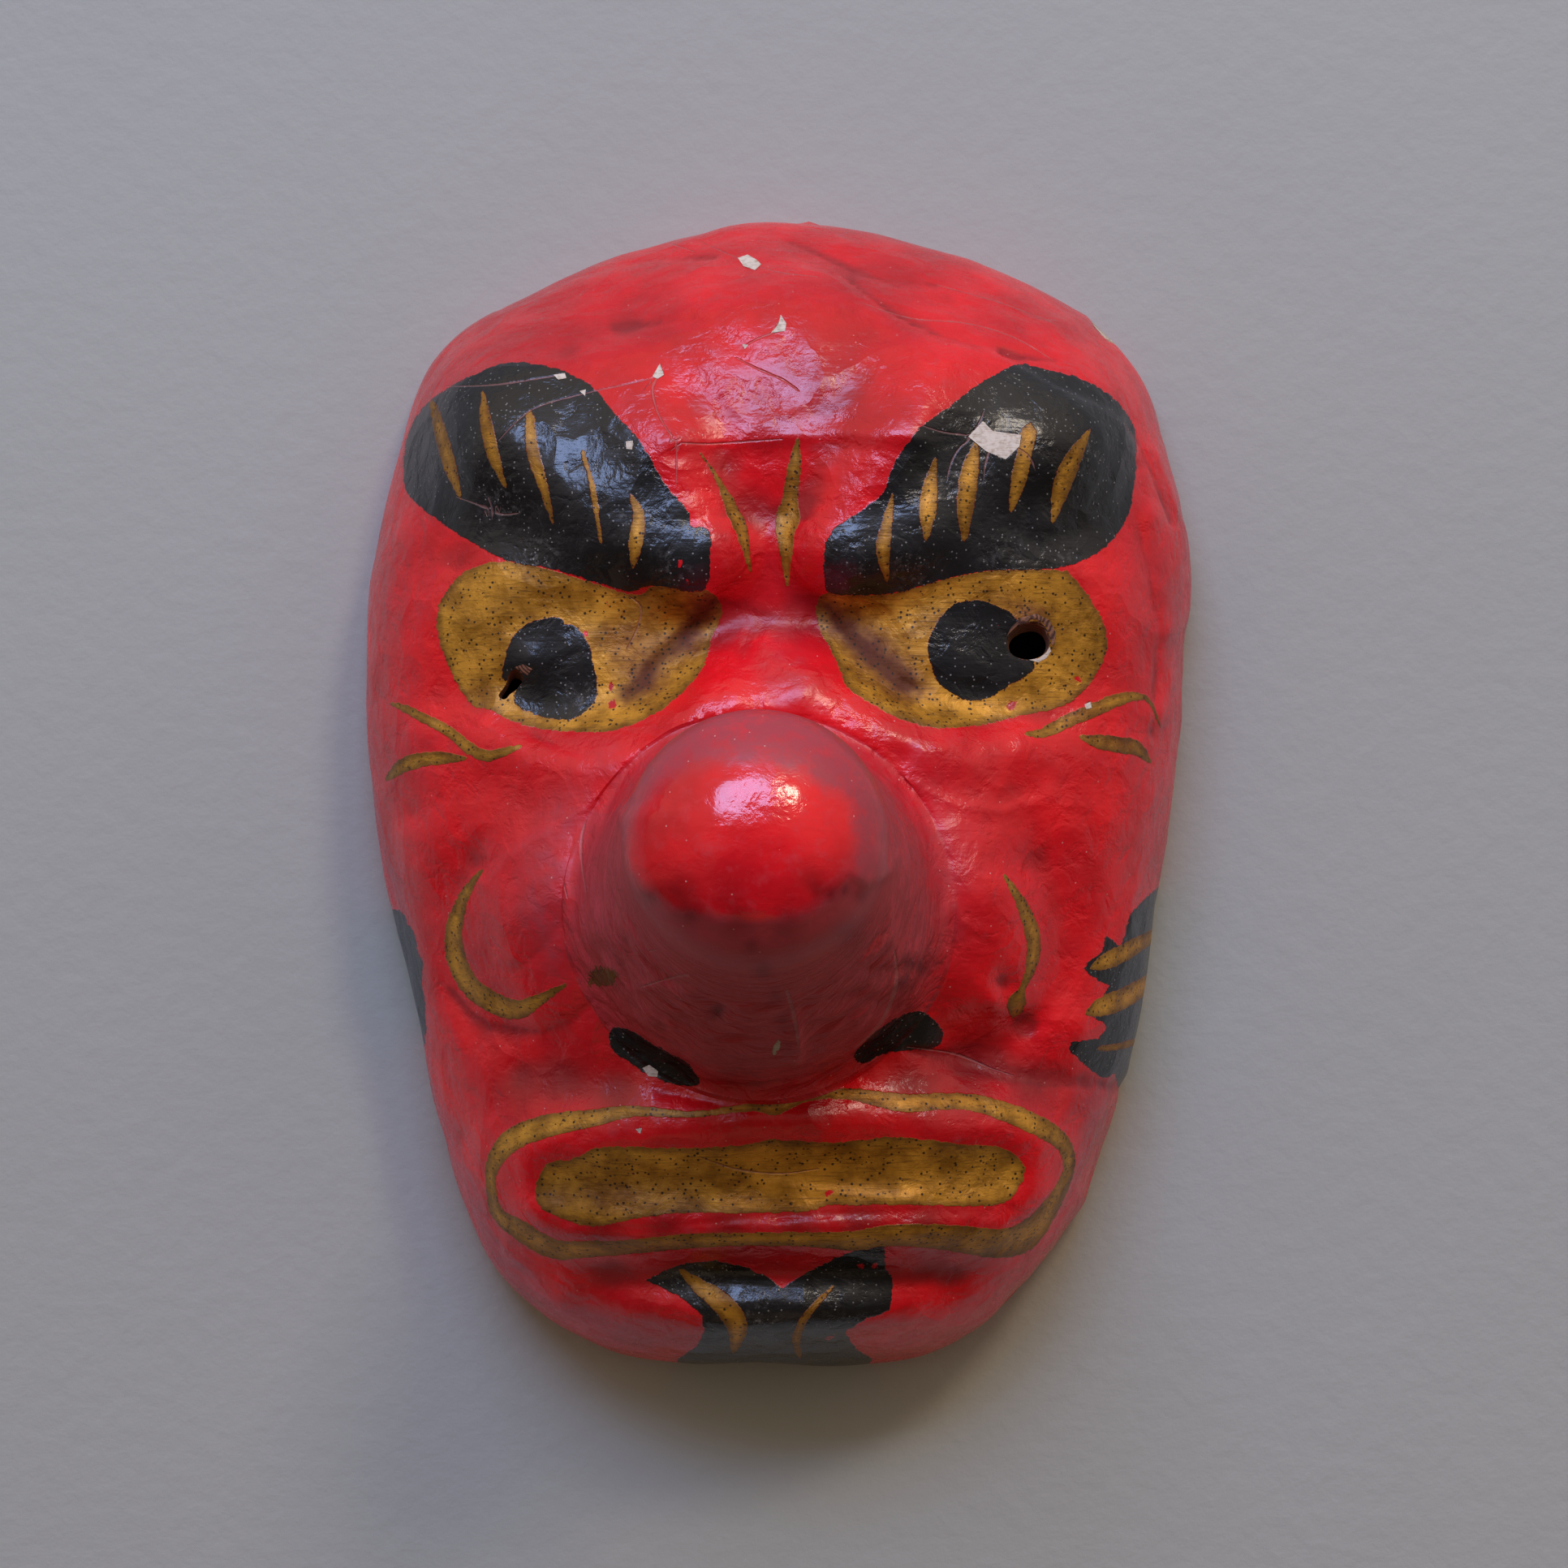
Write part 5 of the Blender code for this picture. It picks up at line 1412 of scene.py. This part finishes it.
    # How each paint shines: enamel wet, lacquer duller where dusty, bronze satin, paper not at all
    sheen = {"Value": patchy, "From Min": 0.3, "From Max": 0.7, "To Min": 0.2, "To Max": 0.33}
    sheen = put(tree, "ShaderNodeMapRange", sheen)
    sheen = put(tree, "ShaderNodeMath", {0: dirt, 1: 0.25, 2: sheen}, operation="MULTIPLY_ADD")
    sheen = put(tree, "ShaderNodeMix", {0: field["knob"], 2: sheen, 3: 0.13})
    sheen = put(tree, "ShaderNodeMath", {0: rubbed_off_and_sheen, 1: 0.3, 2: sheen}, operation="MULTIPLY_ADD")
    satin = put(tree, "ShaderNodeMath", {0: stain, 1: 0.3, 2: 0.48}, operation="MULTIPLY_ADD")
    dull = put(tree, "ShaderNodeMath", {0: pale, 1: 0.35, 2: 0.25}, operation="MULTIPLY_ADD")
    for share, rough_there in ((under, 0.5), (gold, satin), (black, dull), (cover["chip"], 0.88)):
        sheen = put(tree, "ShaderNodeMix", {0: share, 2: sheen, 3: rough_there})
    tree.links.new(sheen.outputs[0], shader.inputs["Roughness"])
    bare = put(tree, "ShaderNodeMath", {0: 1.0, 1: cover["chip"]}, operation="SUBTRACT")
    metal = put(tree, "ShaderNodeMath", {0: gold, 1: bare}, operation="MULTIPLY")
    metal = put(tree, "ShaderNodeMath", {0: metal, 1: 0.32}, operation="MULTIPLY")
    tree.links.new(metal.outputs[0], shader.inputs["Metallic"])
    shader.inputs["IOR"].default_value = 1.5
    rubbed_dull = {"Value": field["underlayer"], "To Min": 0.5, "To Max": 0.22}
    rubbed_dull = put(tree, "ShaderNodeMapRange", rubbed_dull)
    tree.links.new(rubbed_dull.outputs[0], shader.inputs["Specular IOR Level"])

    # Relief, in millimetres: bowls of 15 mm where sheets sank, wrinkles of 5 mm, the brush's
    # grooves, pimples of dust under the paint, films 0.04 to 0.06 mm thick, flakes 0.2 mm deep and
    # creases 1.6 mm apart under the nose
    bend = {"Vector": place, "Scale": 1 / (14 * MM), "Detail": 2.0}
    bend = put(tree, "ShaderNodeTexNoise", bend)
    wrinkle = {"Vector": place, "Scale": 1 / (5 * MM), "Detail": 5.0, "Roughness": 0.55, "Distortion": 0.4}
    wrinkle = put(tree, "ShaderNodeTexNoise", wrinkle)
    ridge = put(tree, "ShaderNodeMath", {0: wrinkle, 1: 0.5}, operation="SUBTRACT")
    ridge = put(tree, "ShaderNodeMath", {0: ridge}, operation="ABSOLUTE")
    height = put(tree, "ShaderNodeMath", {0: ridge, 1: -0.55, 2: wrinkle}, operation="MULTIPLY_ADD")
    height = put(tree, "ShaderNodeMath", {0: height, 1: 0.6}, operation="MULTIPLY")
    bent = put(tree, "ShaderNodeVectorMath", {0: bend.outputs["Color"], 3: 14 * MM}, operation="SCALE")
    bent = put(tree, "ShaderNodeVectorMath", {0: bent, 1: place}, operation="ADD")
    sheets = put(tree, "ShaderNodeTexVoronoi", {"Vector": bent, "Scale": 1 / (15 * MM)})
    bowl = put(tree, "ShaderNodeMath", {0: sheets.outputs["Distance"], 1: 2.0}, operation="POWER")
    peel = put(tree, "ShaderNodeTexNoise", {"Vector": place, "Scale": 1 / (1.3 * MM), "Detail": 2.0})
    combing = put(tree, "ShaderNodeMath", {0: comb, 1: gold}, operation="MULTIPLY")
    for part, rise in ((bowl, 0.9), (peel, 0.07), (brush, 0.05), (combing, 0.04)):
        height = put(tree, "ShaderNodeMath", {0: part, 1: rise, 2: height}, operation="MULTIPLY_ADD")
    lumps = put(tree, "ShaderNodeTexVoronoi", {"Vector": place, "Scale": 1 / (3.2 * MM)})
    pimple = {"Value": lumps.outputs["Distance"], "From Min": 0.14, "From Max": 0.0, "To Max": 0.07}
    pimple = put(tree, "ShaderNodeMapRange", pimple, interpolation_type="SMOOTHSTEP")
    height = put(tree, "ShaderNodeMath", {0: height, 1: pimple}, operation="ADD")
    steady = put(tree, "ShaderNodeMath", {0: field["knob"], 1: -0.7, 2: 1.0}, operation="MULTIPLY_ADD")
    height = put(tree, "ShaderNodeMath", {0: height, 1: steady}, operation="MULTIPLY")
    crumpled = put(tree, "ShaderNodeMath", {0: sagged, 1: field["ripple"]}, operation="MULTIPLY")
    rises = {"gold": 0.04, "stroke": 0.05, "black": 0.06, "chip": -0.2, "crack": -0.15}
    raised = [(film[name], rise) for name, rise in rises.items()] + [(crumpled, 1.2)]
    for part, rise in raised:
        height = put(tree, "ShaderNodeMath", {0: part, 1: rise, 2: height}, operation="MULTIPLY_ADD")
    relief = put(tree, "ShaderNodeBump", {"Height": height, "Strength": 1.0, "Distance": MM})
    tree.links.new(relief.outputs[0], shader.inputs["Normal"])
    return material


def bare_pasted_paper(colours):
    """Unpainted paper, pasted in torn pieces, as it looks on the inside."""
    # Old handmade paper stiffened with paste: matt and beige, pieces of 24 mm that lap over each
    # other, fibres of 0.35 mm, brown where paste soaked in, and red that ran over the rim
    material, tree, shader, place = new_material("bare_pasted_paper")
    bent = put(tree, "ShaderNodeTexNoise", {"Vector": place, "Scale": 1 / (9 * MM), "Detail": 3.0})
    bent = put(tree, "ShaderNodeVectorMath", {0: bent.outputs["Color"], 3: 6 * MM}, operation="SCALE")
    bent = put(tree, "ShaderNodeVectorMath", {0: bent, 1: place}, operation="ADD")
    pieces = put(tree, "ShaderNodeTexVoronoi", {"Vector": bent, "Scale": 1 / (24 * MM)})
    seams = {"Vector": bent, "Scale": 1 / (24 * MM)}
    seams = put(tree, "ShaderNodeTexVoronoi", seams, feature="DISTANCE_TO_EDGE")
    tone = put(tree, "ShaderNodeSeparateColor", {"Color": pieces.outputs["Color"]}).outputs["Red"]
    colour = {0: tone, 6: (*colours.paper_inside, 1), 7: (*colours.paper_light, 1)}
    colour = put(tree, "ShaderNodeMix", colour, data_type="RGBA")
    soaked = {"Vector": place, "Scale": 1 / (22 * MM), "Detail": 5.0, "Roughness": 0.65}
    soaked = put(tree, "ShaderNodeTexNoise", soaked)
    stain = {"Value": soaked, "From Min": 0.48, "From Max": 0.7, "To Max": 0.8}
    stain = put(tree, "ShaderNodeMapRange", stain)
    seam = {"Value": seams, "From Min": 0.05, "From Max": 0.0, "To Max": 0.5}
    seam = put(tree, "ShaderNodeMapRange", seam)
    fibres = {"Vector": place, "Scale": (1 / (6 * MM), 1 / (0.35 * MM), 1 / (1 * MM))}
    fibres = put(tree, "ShaderNodeMapping", fibres)
    fibres = {"Vector": fibres, "Scale": 1.0, "Detail": 3.0, "Distortion": 1.5}
    fibres = put(tree, "ShaderNodeTexNoise", fibres)
    fleck = {"Value": fibres, "From Min": 0.55, "From Max": 0.75, "To Max": 0.4}
    fleck = put(tree, "ShaderNodeMapRange", fleck)
    up = put(tree, "ShaderNodeSeparateXYZ", {"Vector": place}).outputs["Z"]
    ran = put(tree, "ShaderNodeMath", {0: soaked, 1: 9 * MM}, operation="MULTIPLY")
    ran = put(tree, "ShaderNodeMath", {0: ran, 1: up}, operation="SUBTRACT")
    ran = {"Value": ran, "From Min": 3.0 * MM, "From Max": 3.8 * MM, "To Max": 0.8}
    ran = put(tree, "ShaderNodeMapRange", ran)
    layers = (
        (stain, colours.paper_stain),
        (seam, colours.paper_dark),
        (fleck, colours.paper_dark),
        (ran, colours.red_deep),
    )
    for share, tint in layers:
        colour = put(tree, "ShaderNodeMix", {0: share, 6: colour, 7: (*tint, 1)}, data_type="RGBA")
    tree.links.new(colour.outputs[2], shader.inputs["Base Color"])
    shader.inputs["Roughness"].default_value = 0.86
    step = put(tree, "ShaderNodeMapRange", {"Value": seams, "From Min": 0.0, "From Max": 0.06})
    step = put(tree, "ShaderNodeMath", {0: step, 1: tone}, operation="MULTIPLY")
    height = put(tree, "ShaderNodeMath", {0: step, 1: 0.35}, operation="MULTIPLY")
    wrinkle = {"Vector": place, "Scale": 1 / (4 * MM), "Detail": 6.0, "Roughness": 0.6}
    wrinkle = put(tree, "ShaderNodeTexNoise", wrinkle)
    height = put(tree, "ShaderNodeMath", {0: wrinkle, 1: 0.8, 2: height}, operation="MULTIPLY_ADD")
    height = put(tree, "ShaderNodeMath", {0: fibres, 1: 0.12, 2: height}, operation="MULTIPLY_ADD")
    relief = put(tree, "ShaderNodeBump", {"Height": height, "Strength": 1.0, "Distance": MM})
    tree.links.new(relief.outputs[0], shader.inputs["Normal"])
    return material


def chipped_paper(colours):
    """Clean paper where a chip of paint came off."""
    # The mask's own paper, laid bare: chalky and pale, with fibres of 0.3 mm and dirt of 0.8 mm
    material, tree, shader, place = new_material("chipped_paper")
    fibres = {"Vector": place, "Scale": (1 / (3 * MM), 1 / (0.3 * MM), 1 / (1 * MM))}
    fibres = put(tree, "ShaderNodeMapping", fibres)
    fibres = {"Vector": fibres, "Scale": 1.0, "Detail": 3.0, "Distortion": 1.0}
    fibres = put(tree, "ShaderNodeTexNoise", fibres)
    dirt = put(tree, "ShaderNodeTexNoise", {"Vector": place, "Scale": 1 / (0.8 * MM), "Detail": 3.0})
    dirt = put(tree, "ShaderNodeMath", {0: dirt, 1: fibres}, operation="MULTIPLY")
    dirt = put(tree, "ShaderNodeMapRange", {"Value": dirt, "From Min": 0.2, "From Max": 0.42})
    colour = {0: dirt, 6: (*colours.chip_light, 1), 7: (*colours.chip_dark, 1)}
    colour = put(tree, "ShaderNodeMix", colour, data_type="RGBA")
    tree.links.new(colour.outputs[2], shader.inputs["Base Color"])
    shader.inputs["Roughness"].default_value = 0.9
    return material


def torn_layered_paper(colours):
    """The cut edge of the paper, where its layers show."""
    # Paper torn through all its sheets: matt brown bands 0.4 mm thick, darker from handling
    material, tree, shader, place = new_material("torn_layered_paper")
    ragged = put(tree, "ShaderNodeTexNoise", {"Vector": place, "Scale": 1 / (1.2 * MM), "Detail": 4.0})
    up = put(tree, "ShaderNodeSeparateXYZ", {"Vector": place}).outputs["Z"]
    layer = put(tree, "ShaderNodeMath", {0: up, 1: 2 * math.pi / (0.4 * MM)}, operation="MULTIPLY")
    layer = put(tree, "ShaderNodeMath", {0: ragged, 1: 6.0, 2: layer}, operation="MULTIPLY_ADD")
    layer = put(tree, "ShaderNodeMath", {0: layer}, operation="SINE")
    tone = put(tree, "ShaderNodeMapRange", {"Value": layer, "From Min": -1.0, "From Max": 1.0})
    colour = {0: tone, 6: (*colours.torn_dark, 1), 7: (*colours.torn_light, 1)}
    colour = put(tree, "ShaderNodeMix", colour, data_type="RGBA")
    tree.links.new(colour.outputs[2], shader.inputs["Base Color"])
    shader.inputs["Roughness"].default_value = 0.8
    height = put(tree, "ShaderNodeMath", {0: layer, 1: 0.08, 2: ragged}, operation="MULTIPLY_ADD")
    relief = put(tree, "ShaderNodeBump", {"Height": height, "Strength": 0.8, "Distance": 0.4 * MM})
    tree.links.new(relief.outputs[0], shader.inputs["Normal"])
    return material


def studio_floor(colours):
    """A plain pale floor with a matt, faintly troweled surface."""
    # Troweled mortar: matt, pale grey, with tone that drifts over 300 mm and 5 mm dimples
    material, tree, shader, place = new_material("troweled_mortar")
    drift = {"Vector": place, "Scale": 1 / (300 * MM), "Detail": 5.0, "Roughness": 0.6}
    drift = put(tree, "ShaderNodeTexNoise", drift)
    colour = {0: drift, 6: (*colours.floor_dark, 1), 7: (*colours.floor_light, 1)}
    colour = put(tree, "ShaderNodeMix", colour, data_type="RGBA")
    tree.links.new(colour.outputs[2], shader.inputs["Base Color"])
    shader.inputs["Roughness"].default_value = 0.9
    dimples = {"Vector": place, "Scale": 1 / (5 * MM), "Detail": 5.0, "Roughness": 0.6}
    dimples = put(tree, "ShaderNodeTexNoise", dimples)
    relief = put(tree, "ShaderNodeBump", {"Height": dimples, "Strength": 0.6, "Distance": 0.5 * MM})
    tree.links.new(relief.outputs[0], shader.inputs["Normal"])
    return material


def bare_spots_mesh(shell):
    """Flakes of bare paper, draped over the shell where the paint came off."""
    tree = BVHTree.FromPolygons(
        [tuple(v.co) for v in shell.data.vertices], [tuple(p.vertices) for p in shell.data.polygons]
    )
    camera = Vector(CAMERA_AT)
    points, faces, slots = [], [], []
    for slot, shapes in enumerate((CHIP_SHAPES + BARE_LIPS, TORN_LIPS)):
        for shape in shapes:
            low, high = np.min(shape, axis=0), np.max(shape, axis=0)
            steps = [np.arange(a + 1, b, FLAKE_STEP) for a, b in zip(low, high)]
            inside = [Vector((x, y)) for x in steps[0] for y in steps[1]]
            ring = [Vector(p) for p in shape]
            edges = [(k, (k + 1) % len(ring)) for k in range(len(ring))]
            flat, _, found, *_ = delaunay_2d_cdt(ring + inside, edges, [list(range(len(ring)))], 1, 1e-6)
            numbers = {}
            for k, (x, y) in enumerate(flat):
                hit, normal, _, _ = tree.ray_cast(camera, from_photo(x, y, 0.0) - camera)
                if hit is not None and hit.z > MM:
                    numbers[k] = len(points)
                    points.append(hit + normal * FLAKE_LIFT)
            for face in found:
                if all(k in numbers for k in face):
                    faces.append([numbers[k] for k in face])
                    slots.append(slot)
    data = bpy.data.meshes.new("bare_spots")
    data.from_pydata(points, [], faces)
    data.polygons.foreach_set("material_index", slots)
    return data


def hole_cut(shell, cutters):
    """Cuts the plugs out of the shell for good, and drops them."""
    for cutter in cutters:
        cut = shell.modifiers.new(cutter.name, "BOOLEAN")
        cut.operation = "DIFFERENCE"
        cut.solver = "EXACT"
        cut.material_mode = "INDEX"
        cut.object = cutter
    seen = shell.evaluated_get(bpy.context.evaluated_depsgraph_get())
    whole = bpy.data.meshes.new_from_object(seen)
    shell.modifiers.clear()
    shell.data = whole
    for cutter in cutters:
        bpy.data.objects.remove(cutter)


class TENGU_OT_paper_shell(bpy.types.Operator):
    """Add the painted paper shell with its nose and sight holes"""

    bl_idname = "tengu.paper_shell"
    bl_label = "Paper Shell"

    def execute(self, context):
        sizes, colours = context.scene.mask_sizes, context.scene.mask_colours
        shell = placed("mask_shell_paper", shell_mesh(sizes))
        for paper in (gloss_enamel_on_paper, bare_pasted_paper, torn_layered_paper):
            shell.data.materials.append(paper(colours))
        right = hole_cutter("right_hole_plug", RIGHT_HOLE, sizes)
        left = hole_cutter("left_hole_plug", LEFT_HOLE, sizes)
        hole_cut(shell, (right, left))
        shell.data.shade_smooth()
        shell.data.set_sharp_from_angle(angle=math.radians(55))
        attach(shell, "root")
        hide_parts("mask_shell")
        return {"FINISHED"}


class TENGU_OT_bare_spots(bpy.types.Operator):
    """Add the flakes of bare paper where the paint came off the shell"""

    bl_idname = "tengu.bare_spots"
    bl_label = "Bare Spots"

    def execute(self, context):
        colours = context.scene.mask_colours
        bare = placed("bare_spots", bare_spots_mesh(bpy.data.objects["mask_shell_paper"]))
        bare.data.materials.append(chipped_paper(colours))
        bare.data.materials.append(torn_layered_paper(colours))
        bare.data.shade_smooth()
        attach(bare, "root")
        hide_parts("mask_shell")
        return {"FINISHED"}


def area_light(name, towards, distance, size, power, colour):
    """A rectangular light that shines on the middle of the mask from a direction."""
    lamp = bpy.data.lights.new(name, "AREA")
    lamp.shape = "RECTANGLE"
    lamp.size, lamp.size_y = size
    lamp.energy = power
    lamp.color = linear(colour)[:3]
    made = placed(name, lamp)
    away = Vector(towards).normalized()
    made.location = away * distance + Vector((0, 0, 60 * MM))
    made.rotation_euler = away.to_track_quat("Z", "Y").to_euler()


class TENGU_OT_stage(bpy.types.Operator):
    """Add the floor, the lights and the camera over the mask"""

    bl_idname = "tengu.stage"
    bl_label = "Stage"

    def execute(self, context):
        scene, looks = context.scene, context.scene.mask_stage
        half = looks.floor_side / 2
        data = bpy.data.meshes.new("floor")
        corners = [(-half, -half, 0), (half, -half, 0), (half, half, 0), (-half, half, 0)]
        data.from_pydata(corners, [], [(0, 1, 2, 3)])
        floor = placed("floor", data)
        data.materials.append(studio_floor(scene.mask_colours))
        floor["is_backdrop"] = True
        for name, (towards, distance, size, colour) in LIGHTS.items():
            area_light(name, towards, distance, size, getattr(looks, name + "_power"), colour)
        world = bpy.data.worlds.new("studio_sky")
        world.use_nodes = True
        tree = world.node_tree
        sky = tree.nodes["Background"]
        seen = put(tree, "ShaderNodeTexCoord").outputs["Generated"]
        window_side = put(tree, "ShaderNodeSeparateXYZ", {"Vector": seen}).outputs["Y"]
        share = {"Value": window_side, "From Min": -0.6, "From Max": 0.9}
        share = put(tree, "ShaderNodeMapRange", share, interpolation_type="SMOOTHSTEP")
        colour = {0: share, 6: linear(SKY_BELOW), 7: linear(SKY_WINDOW)}
        colour = put(tree, "ShaderNodeMix", colour, data_type="RGBA")
        overhead = put(tree, "ShaderNodeSeparateXYZ", {"Vector": seen}).outputs["Z"]
        overhead = {"Value": overhead, "From Min": 0.8, "From Max": 0.98, "To Max": 0.6}
        overhead = put(tree, "ShaderNodeMapRange", overhead, interpolation_type="SMOOTHSTEP")
        colour = {0: overhead, 6: colour.outputs[2], 7: (0, 0, 0, 1)}
        colour = put(tree, "ShaderNodeMix", colour, data_type="RGBA")
        tree.links.new(colour.outputs[2], sky.inputs["Color"])
        sky.inputs["Strength"].default_value = looks.sky_strength
        scene.world = world
        lens = bpy.data.cameras.new("camera")
        lens.lens, lens.sensor_width, lens.sensor_fit = LENS_MM, SENSOR_MM, "HORIZONTAL"
        lens.clip_start, lens.clip_end = 10 * MM, 20.0
        camera = placed("camera", lens)
        camera.location = CAMERA_AT
        scene.camera = camera
        scene.view_settings.view_transform = "Standard"
        return {"FINISHED"}


class TENGU_PT_sidebar(bpy.types.Panel):
    """Buttons, sizes and colours of the mask"""

    bl_idname = "TENGU_PT_sidebar"
    bl_label = "Tengu Mask"
    bl_space_type = "VIEW_3D"
    bl_region_type = "UI"
    bl_category = "Tengu Mask"

    def draw(self, context):
        for operator in OPERATORS:
            self.layout.operator(operator.bl_idname)
        for name, group in GROUPS.items():
            box = self.layout.box()
            for setting in group.__annotations__:
                box.prop(getattr(context.scene, name), setting)


GROUPS = {"mask_sizes": MaskSizes, "mask_colours": MaskColours, "mask_stage": StageLooks}
OPERATORS = (TENGU_OT_paper_shell, TENGU_OT_bare_spots, TENGU_OT_stage)


def register():
    """Makes the settings, the operators and the panel known to Blender."""
    for name, group in GROUPS.items():
        bpy.utils.register_class(group)
        setattr(bpy.types.Scene, name, PointerProperty(type=group))
    for kind in (*OPERATORS, TENGU_PT_sidebar):
        bpy.utils.register_class(kind)


def unregister():
    """Takes back what register made known."""
    for kind in reversed((*OPERATORS, TENGU_PT_sidebar)):
        bpy.utils.unregister_class(kind)
    for name, group in reversed(GROUPS.items()):
        delattr(bpy.types.Scene, name)
        bpy.utils.unregister_class(group)


def main():
    """Builds the whole scene, and works out both boxes."""
    register()
    bpy.ops.tengu.paper_shell()
    bpy.ops.tengu.bare_spots()
    bpy.ops.tengu.stage()
    boxes = {"cad": CAD_BOX, "visual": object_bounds()}
    boxes = {name: [list(corner) for corner in box] for name, box in boxes.items()}


if __name__ == "__main__":
    main()
